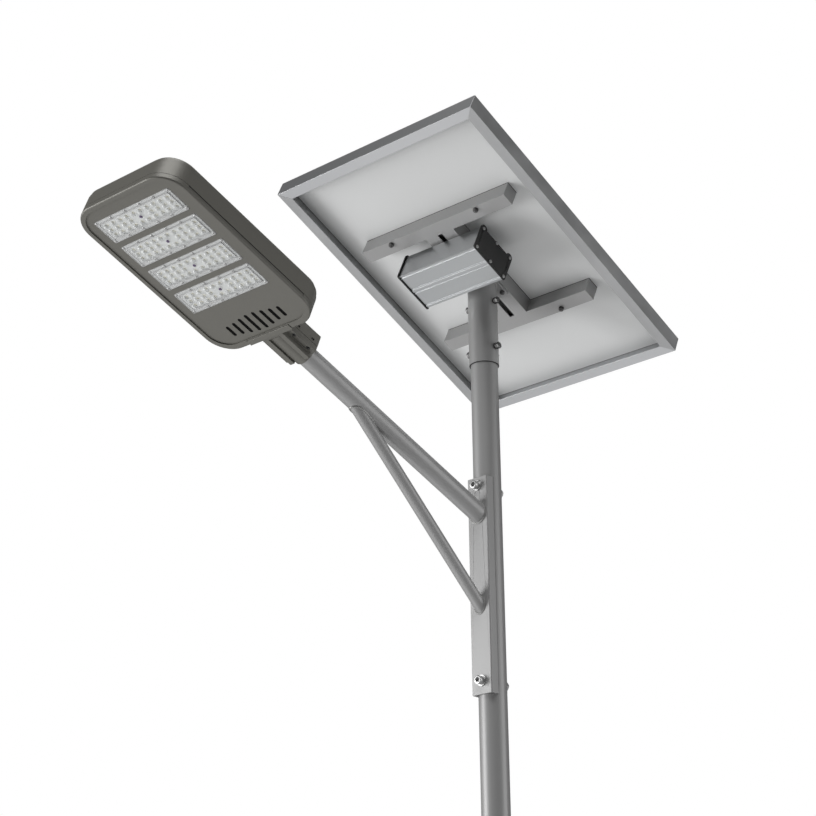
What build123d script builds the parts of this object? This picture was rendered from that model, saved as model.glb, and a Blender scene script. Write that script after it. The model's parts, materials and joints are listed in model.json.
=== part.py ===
"""Solar street lamp: a bolted-down round pole with a strutted side arm, a four-module LED head clamped on the
arm, and a tilted solar panel with a battery box on a swivelling sleeve at the pole's top.

Millimetres and degrees. +Z is up, the arm points along -Y, and the origin is on the pole's axis at the
underside of the base flange."""

import os
from math import cos, radians, sin, tan

from build123d import *

os.makedirs("parts", exist_ok=True)

# ---------------------------------------------------------------- driving dimensions
# pole
POLE_R = 30.15
POLE_WALL = 3.2
FLANGE_SIDE = 240
FLANGE_T = 12
ANCHOR_PITCH = 180
ANCHOR_R = 9
POLE_TOP = 3450
# arm bracket, arm and strut
BRACKET_W = 54
BRACKET_T = 5
BRACKET_BOTTOM = 2537
BRACKET_TOP = 3010
BRACKET_BOLT_Z = (2565, 2991)
FACE_Y = -(POLE_R + BRACKET_T)
ARM_R = 21.2
ARM_WALL = 3
ARM_TILT = 21.2
ARM_ROOT_Z = 2930
ARM_LENGTH = 649
STRUT_R = 13.45
STRUT_WALL = 2.3
STRUT_ROOT_Z = 2726
STRUT_MEETS_Y = -435.5
# lamp head: its own frame has y towards the arm, z up, and z = 0 on the rim that faces the road
LAMP_REACH = 868.5
AXIS_H = 26
HEAD_W = 274
HEAD_L = 433
HEAD_CORNER = 55
SIDE_GROOVE = 1.2
SIDE_GROOVE_L = 320
DOOR_T = 12
SHELL_H = 62
MODULE_L = 208
MODULE_W = 59.6
MODULE_PITCH = 72.7
MODULE_FIRST = -150.5
MODULES = [MODULE_FIRST + MODULE_PITCH * i for i in range(4)]
LED_PITCH = 18.85
LED_ROW = 12.6
MODULE_SCREWS = [(x, y) for x in (-100, -60, -20, 20, 60, 100) for y in (-25.5, 25.5)]
SLAB_W = 224
SLAB_L = 300
SLAB_Y = -41.5
RECESS = 2.5
PLATE_T = 5.5
CLAMP_START = 217
CLAMP_END = 300
COLLAR_END = 307
CLAMP_W = 80
CLAMP_BORE = ARM_R + 0.1
CLAMP_WALL_R = 24.5
RIDGE_OUTER = 26
RIDGE_Z = 1.5
RIDGE_INNER = 15
FLANGE_Z = 12
TAB_START = 204
SADDLE_BOLTS = [(x, y) for x in (-34, 34) for y in (241, 283)]
NUT_Z = 31.2
NUT_H = 4
HOUSING_SCREWS = [(x, y) for x in (-118, 118) for y in (-150, 0, 150)]
# panel head: its own frame has y towards the low rear edge, z to the sky, and z = 0 on the frame's underside
PANEL_TILT = 25
PANEL_Y = -18
PANEL_Z = 3502
PANEL_W = 567
PANEL_L = 775
FRAME_H = 38
FRAME_LIP = 25
FRAME_WALL = 1.8
LAMINATE_Z = 32
BACK_T = 1.3
GLASS_T = 3.2
CELL_T = 0.3
CELL_COLUMNS = 4
CELL_ROWS = 9
CELL_W = 128
CELL_L = 79.5
CELL_GAP = 3
RAIL_FRONT = -151
RAIL_REAR = 157
RAIL_W = 32
RAIL_L = 414
WEB_W = 80
RAIL_FACE = -8
SHEET_T = 2.5
PAD_T = 2
RAIL_STUDS = [(x, y) for x in (-123.5, 123.5) for y in (-159, 164.5)]
SLOT_W = 13
SLOTS = ((-104.75, 59.5), (112, 56))
HEAD_PLATE_T = 5
HEAD_BOLTS = [(x, y) for x in (-30, 30) for y in (-4, 64)]
# sleeve
SLEEVE_R = 33
SLEEVE_BORE = 30.6
SLEEVE_BOTTOM = 3280
SET_BOLT_Z = (3318, 3428)
SET_BOLT_DIRECTIONS = ((1, 0, 0), (-1, 0, 0), (0, 1, 0))
SET_HEAD_R = 40
# battery box, lying across the web, in front of the sleeve
CASE_Y = -64
CASE_W = 105
CASE_H = 65
CASE_L = 218
CASE_WALL = 3
CASE_ROOF = 4
SPACER_T = 6
CASE_TOP = RAIL_FACE - SPACER_T
CASE_MID = CASE_TOP - CASE_H / 2
BASE_RIBS = ((-51.5, 2), (-44.5, 1.4), (-2.5, 7), (5.5, 2), (47, 2))
BASE_GROOVES = ((-47.5, 3), (-10, 2), (2.5, 2), (42, 2.4))
END_T = 4
END_W = 112
END_H = 66.5
EAR_S = 46
EAR_R = 10
PORTS = [(s, t) for s in (-48, 0, 48) for t in (-29, 29)]
BOSS_R = 3.4
CASE_BOLTS = [(x, y) for x in (-25, 25) for y in (-95, -35)]
GLAND_Y = -92
GLAND_NUT_T = 2
GLAND_OUT = 20
CELL_R = 13.1
CELL_LENGTH = 65

# ---------------------------------------------------------------- frames of the two heads
ARM_DIR = Vector(0, -cos(radians(ARM_TILT)), sin(radians(ARM_TILT)))
ARM_UP = Vector(0, sin(radians(ARM_TILT)), cos(radians(ARM_TILT)))
ARM_ROOT = Vector(0, FACE_Y, ARM_ROOT_Z)
LAMP = Plane(ARM_ROOT + ARM_DIR * LAMP_REACH - ARM_UP * AXIS_H, x_dir=(1, 0, 0), z_dir=ARM_UP)
PANEL_UP = Vector(0, sin(radians(PANEL_TILT)), cos(radians(PANEL_TILT)))
PANEL = Plane(Vector(0, PANEL_Y, PANEL_Z), x_dir=(1, 0, 0), z_dir=PANEL_UP)


def save(part, name):
    """Labels a finished piece and writes it as one STEP file."""
    part.label = name
    export_step(part, f"parts/{name}.step")


def hex_nut_outline(across_flats):
    """A hexagon of the given width across flats, on the sketch that is being drawn."""
    RegularPolygon(across_flats / 2, 6, major_radius=False)


def along(plane, point, direction):
    """A plane at a point of a frame, whose normal is a direction of that frame."""
    start = plane.from_local_coords(Vector(*point))
    end = plane.from_local_coords(Vector(*point) + Vector(*direction))
    return Plane(start, z_dir=end - start)


# ---------------------------------------------------------------- pole and base
def make_base():
    with BuildPart() as flange:
        with BuildSketch(Plane.XY):
            RectangleRounded(FLANGE_SIDE, FLANGE_SIDE, 14)
            Circle(POLE_R - 10, mode=Mode.SUBTRACT)
            with GridLocations(ANCHOR_PITCH, ANCHOR_PITCH, 2, 2):
                Circle(ANCHOR_R, mode=Mode.SUBTRACT)
        extrude(amount=FLANGE_T)
        chamfer(flange.faces().sort_by(Axis.Z)[-1].outer_wire().edges(), 1.5)
    save(flange.part, "base_flange")

    with BuildPart() as gussets:
        for turn in range(4):
            with BuildSketch(Plane(origin=(0, 0, FLANGE_T), x_dir=Vector(1, 0, 0).rotate(Axis.Z, 90 * turn),
                                   z_dir=Vector(0, -1, 0).rotate(Axis.Z, 90 * turn))):
                with BuildLine():
                    Polyline((POLE_R - 5, 0), (100, 0), (100, 14), (POLE_R + 9, 130), (POLE_R - 5, 130), close=True)
                make_face()
            extrude(amount=4, both=True)
        Cylinder(POLE_R, 400, mode=Mode.SUBTRACT)
    save(gussets.part, "base_gussets")


def make_pole():
    with BuildPart() as pole:
        with BuildSketch(Plane.XY.offset(FLANGE_T)):
            Circle(POLE_R)
            Circle(POLE_R - POLE_WALL, mode=Mode.SUBTRACT)
        extrude(amount=POLE_TOP - FLANGE_T)
        for z in BRACKET_BOLT_Z:
            with BuildSketch(Plane(origin=(0, 0, z), z_dir=(0, 1, 0))):
                Circle(6.5)
            extrude(amount=POLE_R + 5, both=True, mode=Mode.SUBTRACT)
        with BuildSketch(Plane(origin=(0, 0, ARM_ROOT_Z - 8), z_dir=(0, -1, 0))):
            Circle(12)
        extrude(amount=POLE_R + 5, mode=Mode.SUBTRACT)
    save(pole.part, "pole_tube")


# ---------------------------------------------------------------- arm, strut and their bracket
def make_arm():
    height = BRACKET_TOP - BRACKET_BOTTOM
    with BuildPart() as bracket:
        with BuildSketch(Plane.XY.offset(BRACKET_BOTTOM)):
            with Locations((0, (FACE_Y - 13.5) / 2)):
                Rectangle(BRACKET_W, -FACE_Y - 13.5)
            with Locations((0, -POLE_R / 2)):
                Rectangle(BRACKET_W - 2 * BRACKET_T, POLE_R, mode=Mode.SUBTRACT)
            Circle(POLE_R, mode=Mode.SUBTRACT)
        extrude(amount=height)
        fillet(bracket.edges().filter_by(Axis.Z).group_by(Axis.Y)[0], 3)
        for z in BRACKET_BOLT_Z:
            with BuildSketch(Plane(origin=(0, -POLE_R + 1, z), z_dir=(0, -1, 0))):
                Circle(6.5)
            extrude(amount=20, mode=Mode.SUBTRACT)
        with BuildSketch(Plane(origin=(0, -POLE_R + 1, ARM_ROOT_Z - 8), z_dir=(0, -1, 0))):
            Circle(12)
        extrude(amount=20, mode=Mode.SUBTRACT)
    save(bracket.part, "arm_bracket")

    face = Plane(origin=(0, FACE_Y, 0), z_dir=(0, -1, 0))
    with BuildPart() as arm:
        with BuildSketch(Plane(ARM_ROOT - ARM_DIR * 20, x_dir=(1, 0, 0), z_dir=ARM_DIR)):
            Circle(ARM_R)
            Circle(ARM_R - ARM_WALL, mode=Mode.SUBTRACT)
        extrude(amount=ARM_LENGTH + 20)
        split(bisect_by=face, keep=Keep.TOP)
    save(arm.part, "arm_tube")

    meets = Vector(0, STRUT_MEETS_Y, ARM_ROOT_Z - (STRUT_MEETS_Y - FACE_Y) * tan(radians(ARM_TILT)))
    root = Vector(0, FACE_Y, STRUT_ROOT_Z)
    strut_dir = (meets - root).normalized()
    with BuildPart() as strut:
        with BuildSketch(Plane(root - strut_dir * 20, x_dir=(1, 0, 0), z_dir=strut_dir)):
            Circle(STRUT_R)
            Circle(STRUT_R - STRUT_WALL, mode=Mode.SUBTRACT)
        extrude(amount=(meets - root).length + 20)
        split(bisect_by=face, keep=Keep.TOP)
        with BuildSketch(Plane(ARM_ROOT, x_dir=(1, 0, 0), z_dir=ARM_DIR)):
            Circle(ARM_R)
        extrude(amount=ARM_LENGTH, mode=Mode.SUBTRACT)
    save(strut.part, "strut_tube")

    with BuildPart() as bolts:
        for z in BRACKET_BOLT_Z:
            with BuildSketch(Plane(origin=(0, FACE_Y - 2.5, z), z_dir=(0, -1, 0))):
                Circle(9)
            extrude(amount=12)
            with BuildSketch(Plane(origin=(0, FACE_Y - 2.5, z), z_dir=(0, 1, 0))):
                Circle(6)
            extrude(amount=86)
        fillet(bolts.faces().sort_by(Axis.Y)[0:2].edges(), 1)
        for z in BRACKET_BOLT_Z:
            with BuildSketch(Plane(origin=(0, FACE_Y - 14.5, z), z_dir=(0, 1, 0))):
                hex_nut_outline(10)
            extrude(amount=6.5, mode=Mode.SUBTRACT)
    save(bolts.part, "bracket_bolts")

    with BuildPart() as washers:
        for z in BRACKET_BOLT_Z:
            for y in (FACE_Y - 2.5, POLE_R):
                with BuildSketch(Plane(origin=(0, y, z), z_dir=(0, 1, 0))):
                    Circle(12)
                    Circle(6.5, mode=Mode.SUBTRACT)
                extrude(amount=2.5)
    save(washers.part, "bracket_washers")

    with BuildPart() as nuts:
        for z in BRACKET_BOLT_Z:
            with BuildSketch(Plane(origin=(0, POLE_R + 2.5, z), z_dir=(0, 1, 0))):
                hex_nut_outline(18)
                Circle(6, mode=Mode.SUBTRACT)
            extrude(amount=10)
    save(nuts.part, "bracket_nuts")


# ---------------------------------------------------------------- lamp head
def make_faceplate():
    with BuildPart() as door:
        with BuildSketch(LAMP):
            RectangleRounded(HEAD_W, HEAD_L, HEAD_CORNER)
        extrude(amount=DOOR_T)
        fillet(door.faces().sort_by(Axis(LAMP.origin, ARM_UP))[0].edges(), 3.5)
        with BuildSketch(LAMP):
            with Locations((0, -2)):
                RectangleRounded(252, 407, 44)
        extrude(amount=RECESS, mode=Mode.SUBTRACT)
        with BuildSketch(LAMP.offset(RECESS + PLATE_T)):
            RectangleRounded(258, 417, 47)
            with Locations((0, SLAB_Y)):
                Rectangle(SLAB_W, SLAB_L, mode=Mode.SUBTRACT)
            with Locations(*HOUSING_SCREWS):
                Circle(7, mode=Mode.SUBTRACT)
        extrude(amount=DOOR_T, mode=Mode.SUBTRACT)
        with BuildSketch(LAMP.offset(RECESS)):
            for y in MODULES:
                with Locations((0, y)):
                    RectangleRounded(MODULE_L + 1, MODULE_W + 1, 3)
        extrude(amount=5, mode=Mode.SUBTRACT)
        with BuildSketch(LAMP.offset(RECESS)):
            for y in MODULES:
                with Locations((0, y)):
                    Circle(4)
            for step, length in enumerate((48, 42, 34, 29)):
                with Locations((-10 - 20 * step, 170), (10 + 20 * step, 170)):
                    SlotOverall(length, 8, rotation=90)
        extrude(amount=DOOR_T, mode=Mode.SUBTRACT)
        with BuildSketch(LAMP.offset(RECESS + 2.5)):
            with Locations((0, 172)):
                Rectangle(176, 56)
        extrude(amount=PLATE_T, mode=Mode.SUBTRACT)
        with BuildSketch(LAMP.offset(5)):
            with Locations((-HEAD_W / 2, 0), (HEAD_W / 2, 0)):
                Rectangle(2 * SIDE_GROOVE, SIDE_GROOVE_L)
        extrude(amount=DOOR_T, mode=Mode.SUBTRACT)
        with BuildSketch(LAMP.offset(7.5)):
            for y in MODULES:
                with Locations(*[(sx, y + sy) for sx, sy in MODULE_SCREWS]):
                    Circle(1.5)
        extrude(amount=4, mode=Mode.SUBTRACT)
        with BuildSketch(LAMP.offset(9)):
            with Locations(*HOUSING_SCREWS):
                Circle(2.55)
        extrude(amount=5, mode=Mode.SUBTRACT)
        with BuildSketch(LAMP.offset(-1)):
            with Locations((0, TAB_START - 0.5 + 10)):
                Rectangle(117, 20)
        extrude(amount=7, mode=Mode.SUBTRACT)
    save(door.part, "lamp_faceplate")

    with BuildPart() as seal:
        with BuildSketch(LAMP.offset(DOOR_T)):
            RectangleRounded(HEAD_W - 1, HEAD_L - 1, HEAD_CORNER - 0.5)
            RectangleRounded(HEAD_W - 9, HEAD_L - 9, HEAD_CORNER - 4.5, mode=Mode.SUBTRACT)
        extrude(amount=0.8)
    save(seal.part, "housing_seal")


def make_housing():
    floor = DOOR_T + 0.8
    with BuildPart() as shell:
        for bottom, top, inset in ((floor, 43, 0), (43, 52, 2), (52, SHELL_H, 5)):
            with BuildSketch(LAMP.offset(bottom)):
                RectangleRounded(HEAD_W - 2 * inset, HEAD_L - 2 * inset, HEAD_CORNER - inset)
            extrude(amount=top - bottom)
        fillet(shell.faces().sort_by(Axis(LAMP.origin, ARM_UP))[-1].edges(), 7)
        with BuildSketch(LAMP.offset(floor)):
            RectangleRounded(HEAD_W - 20, HEAD_L - 20, HEAD_CORNER - 10)
        extrude(amount=SHELL_H - 5 - floor, mode=Mode.SUBTRACT)
        with BuildSketch(LAMP.offset(SHELL_H)):
            with Locations((0, SLAB_Y)):
                with GridLocations(20, 0, 11, 1):
                    SlotOverall(260, 3.2, rotation=90)
        extrude(amount=12)
        with BuildSketch(LAMP.offset(floor)):
            with Locations(*HOUSING_SCREWS):
                Circle(7)
        extrude(amount=SHELL_H - 4 - floor)
        with BuildSketch(LAMP.offset(AXIS_H + 0.4)):
            with Locations((0, (212 + CLAMP_END) / 2)):
                Rectangle(CLAMP_W, CLAMP_END - 212)
        extrude(amount=26)
        with BuildSketch(along(LAMP, (0, COLLAR_END, AXIS_H), (0, -1, 0))):
            Circle(CLAMP_WALL_R)
        extrude(amount=COLLAR_END - CLAMP_END + 1)
        with BuildSketch(LAMP.offset(AXIS_H + 0.4)):
            with Locations((0, COLLAR_END)):
                Rectangle(CLAMP_W + 2, 2 * (COLLAR_END - CLAMP_END) + 4)
        extrude(amount=-2 * CLAMP_WALL_R, mode=Mode.SUBTRACT)
        with BuildSketch(along(LAMP, (0, COLLAR_END + 1, AXIS_H), (0, -1, 0))):
            Circle(CLAMP_BORE)
        extrude(amount=COLLAR_END + 1 - CLAMP_START - 0.5, mode=Mode.SUBTRACT)
        with BuildSketch(along(LAMP, (0, CLAMP_END, AXIS_H), (0, -1, 0))):
            Circle(8)
        extrude(amount=CLAMP_END - 200, mode=Mode.SUBTRACT)
        with BuildSketch(LAMP.offset(floor)):
            with Locations(*HOUSING_SCREWS):
                Circle(2.55)
        extrude(amount=SHELL_H, mode=Mode.SUBTRACT)
        with BuildSketch(LAMP.offset(SHELL_H - 4)):
            with Locations(*HOUSING_SCREWS):
                Circle(5.2)
        extrude(amount=SHELL_H, mode=Mode.SUBTRACT)
        with BuildSketch(LAMP.offset(AXIS_H)):
            with Locations(*SADDLE_BOLTS):
                Circle(2.7)
        extrude(amount=20, mode=Mode.SUBTRACT)
        with BuildSketch(LAMP.offset(NUT_Z - 0.2)):
            for x, y in SADDLE_BOLTS:
                with Locations((x * 1.1, y)):
                    Rectangle(16.4, 8.6)
        extrude(amount=NUT_H + 0.4, mode=Mode.SUBTRACT)
    save(shell.part, "lamp_housing")

    with BuildPart() as screws:
        with BuildSketch(LAMP.offset(SHELL_H - 4)):
            with Locations(*HOUSING_SCREWS):
                Circle(4.8)
        extrude(amount=3.4)
        with BuildSketch(LAMP.offset(10)):
            with Locations(*HOUSING_SCREWS):
                Circle(2.5)
        extrude(amount=SHELL_H - 14)
        with BuildSketch(LAMP.offset(SHELL_H - 3)):
            with Locations(*HOUSING_SCREWS):
                hex_nut_outline(4)
        extrude(amount=4, mode=Mode.SUBTRACT)
    save(screws.part, "housing_screws")


def make_saddle():
    clamp_y = (CLAMP_START + CLAMP_END) / 2
    clamp_l = CLAMP_END - CLAMP_START
    parting = AXIS_H - 0.4
    axis = along(LAMP, (0, COLLAR_END, AXIS_H), (0, -1, 0))
    with BuildPart() as saddle:
        with BuildSketch(LAMP.offset(RIDGE_Z)):
            with Locations((0, clamp_y)):
                Rectangle(2 * RIDGE_OUTER, clamp_l)
        extrude(amount=parting - RIDGE_Z)
        with BuildSketch(LAMP.offset(-3)):
            with Locations((0, clamp_y + 6)):
                Rectangle(2 * RIDGE_INNER, clamp_l)
        extrude(amount=14, mode=Mode.SUBTRACT)
        with BuildSketch(axis):
            Circle(CLAMP_WALL_R)
        extrude(amount=COLLAR_END - CLAMP_START)
        with BuildSketch(LAMP.offset(FLANGE_Z)):
            with Locations((0, clamp_y)):
                Rectangle(CLAMP_W, clamp_l)
        extrude(amount=parting - FLANGE_Z)
        with BuildSketch(LAMP.offset(-1.5)):
            with Locations((0, (TAB_START + CLAMP_START + 0.5) / 2)):
                RectangleRounded(116, CLAMP_START + 0.5 - TAB_START, 2)
        extrude(amount=7.3)
        with BuildSketch(LAMP.offset(parting)):
            with Locations((0, clamp_y)):
                Rectangle(CLAMP_W, clamp_l + 2 * COLLAR_END - 2 * CLAMP_END + 2)
        extrude(amount=2 * CLAMP_WALL_R, mode=Mode.SUBTRACT)
        with BuildSketch(along(LAMP, (0, COLLAR_END + 1, AXIS_H), (0, -1, 0))):
            Circle(CLAMP_BORE)
        extrude(amount=COLLAR_END + 1 - CLAMP_START - 0.5, mode=Mode.SUBTRACT)
        with BuildSketch(LAMP.offset(FLANGE_Z)):
            with Locations(*SADDLE_BOLTS):
                Circle(4.6)
        extrude(amount=6, mode=Mode.SUBTRACT)
        with BuildSketch(LAMP.offset(FLANGE_Z)):
            with Locations(*SADDLE_BOLTS):
                Circle(2.7)
        extrude(amount=20, mode=Mode.SUBTRACT)
    save(saddle.part, "tube_saddle")

    with BuildPart() as bolts:
        with BuildSketch(LAMP.offset(FLANGE_Z + 1)):
            with Locations(*SADDLE_BOLTS):
                Circle(4.25)
        extrude(amount=5)
        with BuildSketch(LAMP.offset(FLANGE_Z + 6)):
            with Locations(*SADDLE_BOLTS):
                Circle(2.45)
        extrude(amount=22)
        with BuildSketch(LAMP.offset(FLANGE_Z + 1)):
            with Locations(*SADDLE_BOLTS):
                hex_nut_outline(4)
        extrude(amount=2.5, mode=Mode.SUBTRACT)
    save(bolts.part, "saddle_bolts")

    with BuildPart() as nuts:
        with BuildSketch(LAMP.offset(NUT_Z)):
            with Locations(*SADDLE_BOLTS):
                hex_nut_outline(8)
                Circle(2.5, mode=Mode.SUBTRACT)
        extrude(amount=NUT_H)
    save(nuts.part, "saddle_nuts")


def led_places(y):
    """Places of the 28 LEDs of the module centred at y: three rows, the middle one without its centre pair."""
    places = []
    for row in (-1, 0, 1):
        for column in range(10):
            if row == 0 and column in (4, 5):
                continue
            places.append(((column - 4.5) * LED_PITCH, y + row * LED_ROW))
    return places


def make_modules():
    for number, y in enumerate(MODULES, 1):
        screws = [(sx, y + sy) for sx, sy in MODULE_SCREWS]
        with BuildPart() as board:
            with BuildSketch(LAMP.offset(5.9)):
                with Locations((0, y)):
                    RectangleRounded(MODULE_L - 1, MODULE_W - 1, 2.5)
                    Circle(4, mode=Mode.SUBTRACT)
                with Locations(*screws):
                    Circle(1.7, mode=Mode.SUBTRACT)
            extrude(amount=1.6)
        save(board.part, f"led_board_{number}")

        with BuildPart() as lens:
            with BuildSketch(LAMP.offset(2.2)):
                with Locations((0, y)):
                    RectangleRounded(MODULE_L, MODULE_W, 3)
            extrude(amount=2.7)
            with BuildSketch(LAMP.offset(1)):
                with Locations((0, y)):
                    RectangleRounded(191, 42, 4)
            extrude(amount=1.2)
            with Locations(*[LAMP.from_local_coords(Vector(x, v, 1.4)) for x, v in led_places(y)]):
                Sphere(5.4)
            with BuildSketch(LAMP.offset(4.9)):
                with Locations((0, y)):
                    Rectangle(MODULE_L, MODULE_W)
            extrude(amount=8, mode=Mode.SUBTRACT)
            with BuildSketch(LAMP):
                with Locations(*screws):
                    Circle(1.6)
            extrude(amount=8, mode=Mode.SUBTRACT)
        save(lens.part, f"led_lens_{number}")

    with BuildPart() as seals:
        with BuildSketch(LAMP.offset(4.9)):
            for y in MODULES:
                with Locations((0, y)):
                    RectangleRounded(195, 46, 4)
                    RectangleRounded(190, 41, 2, mode=Mode.SUBTRACT)
        extrude(amount=1)
    save(seals.part, "module_seals")

    with BuildPart() as chips:
        with BuildSketch(LAMP.offset(5.2)):
            for y in MODULES:
                with Locations(*led_places(y)):
                    Rectangle(5, 5)
        extrude(amount=0.7)
    save(chips.part, "led_chips")

    with BuildPart() as fasteners:
        screws = [(sx, y + sy) for y in MODULES for sx, sy in MODULE_SCREWS]
        with BuildSketch(LAMP.offset(0.8)):
            with Locations(*screws):
                Circle(2.8)
        extrude(amount=1.4)
        with BuildSketch(LAMP.offset(2.2)):
            with Locations(*screws):
                Circle(1.45)
        extrude(amount=8.8)
    save(fasteners.part, "module_screws")


def make_lamp_electrics():
    with BuildPart() as driver:
        with BuildSketch(LAMP.offset(32)):
            with Locations((0, 166)):
                RectangleRounded(130, 56, 4)
        extrude(amount=25)
    save(driver.part, "led_driver")

    with BuildPart() as terminals:
        with BuildSketch(LAMP.offset(40)):
            with Locations((88, 166)):
                Rectangle(22, 36)
        extrude(amount=17)
        with BuildSketch(LAMP.offset(40)):
            with Locations((88, 166)):
                with GridLocations(0, 11, 1, 3):
                    Circle(3)
        extrude(amount=5, mode=Mode.SUBTRACT)
    save(terminals.part, "terminal_block")

    with BuildPart() as grommet:
        with BuildSketch(along(LAMP, (0, 204, AXIS_H), (0, 1, 0))):
            Circle(10)
            Circle(4, mode=Mode.SUBTRACT)
        extrude(amount=2.5)
        with BuildSketch(along(LAMP, (0, 206.5, AXIS_H), (0, 1, 0))):
            Circle(8)
            Circle(4, mode=Mode.SUBTRACT)
        extrude(amount=10)
    save(grommet.part, "lead_grommet")


# ---------------------------------------------------------------- sleeve and head plate
def make_sleeve():
    under_plate = PANEL.offset(RAIL_FACE - HEAD_PLATE_T)
    with BuildPart() as sleeve:
        with BuildSketch(Plane.XY.offset(SLEEVE_BOTTOM)):
            Circle(SLEEVE_R)
            Circle(SLEEVE_BORE, mode=Mode.SUBTRACT)
        extrude(amount=300)
        split(bisect_by=under_plate, keep=Keep.BOTTOM)
        for z in SET_BOLT_Z:
            for direction in SET_BOLT_DIRECTIONS:
                with BuildSketch(Plane(origin=(0, 0, z), z_dir=direction)):
                    Circle(4.1)
                extrude(amount=SLEEVE_R + 5, mode=Mode.SUBTRACT)
    save(sleeve.part, "mast_sleeve")

    axis_y = -PANEL_Y / cos(radians(PANEL_TILT)) - (RAIL_FACE - HEAD_PLATE_T) * tan(radians(PANEL_TILT))
    with BuildPart() as plate:
        with BuildSketch(under_plate):
            with Locations((0, (78 - 12.5) / 2)):
                RectangleRounded(76, 78 + 12.5, 6)
            with Locations((0, axis_y)):
                Circle(14, mode=Mode.SUBTRACT)
            with Locations(*HEAD_BOLTS):
                Circle(3.3, mode=Mode.SUBTRACT)
        extrude(amount=HEAD_PLATE_T)
    save(plate.part, "head_plate")

    with BuildPart() as nuts:
        for z in SET_BOLT_Z:
            for direction in SET_BOLT_DIRECTIONS:
                with BuildSketch(Plane(origin=Vector(0, 0, z) + Vector(*direction) * SLEEVE_R, z_dir=direction)):
                    hex_nut_outline(13)
                    Circle(4, mode=Mode.SUBTRACT)
                extrude(amount=6.5)
    save(nuts.part, "sleeve_nuts")

    with BuildPart() as bolts:
        for z in SET_BOLT_Z:
            for direction in SET_BOLT_DIRECTIONS:
                out = Vector(*direction)
                with BuildSketch(Plane(origin=Vector(0, 0, z) + out * (POLE_R + 0.2), z_dir=direction)):
                    Circle(3.95)
                extrude(amount=SET_HEAD_R - POLE_R - 0.2)
                with BuildSketch(Plane(origin=Vector(0, 0, z) + out * SET_HEAD_R, z_dir=direction)):
                    hex_nut_outline(13)
                extrude(amount=5.3)
    save(bolts.part, "set_bolts")

    with BuildPart() as head_bolts:
        with BuildSketch(PANEL.offset(RAIL_FACE + SHEET_T)):
            with Locations(*HEAD_BOLTS):
                hex_nut_outline(10)
        extrude(amount=4)
        with BuildSketch(PANEL.offset(RAIL_FACE - HEAD_PLATE_T - 8)):
            with Locations(*HEAD_BOLTS):
                Circle(3)
        extrude(amount=8 + HEAD_PLATE_T + SHEET_T)
    save(head_bolts.part, "head_plate_bolts")

    with BuildPart() as head_nuts:
        with BuildSketch(PANEL.offset(RAIL_FACE - HEAD_PLATE_T - 5)):
            with Locations(*HEAD_BOLTS):
                hex_nut_outline(10)
                Circle(3, mode=Mode.SUBTRACT)
        extrude(amount=5)
    save(head_nuts.part, "head_plate_nuts")


# ---------------------------------------------------------------- panel bracket
def bracket_outline(inset):
    """The H-shaped outline of the folded bracket, drawn in by inset, on the current sketch."""
    with Locations((0, RAIL_FRONT), (0, RAIL_REAR)):
        Rectangle(RAIL_L - 2 * inset, RAIL_W - 2 * inset)
    with Locations((0, (RAIL_FRONT + RAIL_REAR) / 2)):
        Rectangle(WEB_W - 2 * inset, RAIL_REAR - RAIL_FRONT)


def make_panel_bracket():
    top = LAMINATE_Z - PAD_T
    with BuildPart() as bracket:
        with BuildSketch(PANEL.offset(RAIL_FACE)):
            bracket_outline(0)
        extrude(amount=top - RAIL_FACE)
        with BuildSketch(PANEL.offset(RAIL_FACE + SHEET_T)):
            bracket_outline(SHEET_T)
        extrude(amount=top - RAIL_FACE, mode=Mode.SUBTRACT)
        with BuildSketch(PANEL.offset(RAIL_FACE - 1)):
            for y, length in SLOTS:
                with Locations((0, y)):
                    RectangleRounded(SLOT_W, length, 2)
            with Locations(*HEAD_BOLTS):
                Circle(3.3)
            with Locations(*CASE_BOLTS):
                Circle(2.7)
            with Locations(*RAIL_STUDS):
                Circle(3.4)
            with Locations((0, 24.5)):
                Circle(14)
        extrude(amount=SHEET_T + 2, mode=Mode.SUBTRACT)
    save(bracket.part, "panel_bracket")

    with BuildPart() as pads:
        with BuildSketch(PANEL.offset(top)):
            bracket_outline(0)
            bracket_outline_cut()
        extrude(amount=PAD_T)
    save(pads.part, "bracket_pads")

    with BuildPart() as studs:
        with BuildSketch(PANEL.offset(LAMINATE_Z - 2)):
            with Locations(*RAIL_STUDS):
                Circle(5)
        extrude(amount=2)
        with BuildSketch(PANEL.offset(RAIL_FACE - 9)):
            with Locations(*RAIL_STUDS):
                Circle(2.95)
        extrude(amount=LAMINATE_Z - 2 - RAIL_FACE + 9)
    save(studs.part, "rail_studs")

    with BuildPart() as nuts:
        with BuildSketch(PANEL.offset(RAIL_FACE - 1.6)):
            with Locations(*RAIL_STUDS):
                Circle(6)
                Circle(3.3, mode=Mode.SUBTRACT)
        extrude(amount=1.6)
        with BuildSketch(PANEL.offset(RAIL_FACE - 6.6)):
            with Locations(*RAIL_STUDS):
                hex_nut_outline(10)
                Circle(3, mode=Mode.SUBTRACT)
        extrude(amount=5)
    save(nuts.part, "rail_nuts")


def bracket_outline_cut():
    """Takes the inside of the bracket's flanges away from the current sketch."""
    with Locations((0, RAIL_FRONT), (0, RAIL_REAR)):
        Rectangle(RAIL_L - 2 * SHEET_T, RAIL_W - 2 * SHEET_T, mode=Mode.SUBTRACT)
    with Locations((0, (RAIL_FRONT + RAIL_REAR) / 2)):
        Rectangle(WEB_W - 2 * SHEET_T, RAIL_REAR - RAIL_FRONT, mode=Mode.SUBTRACT)


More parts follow.
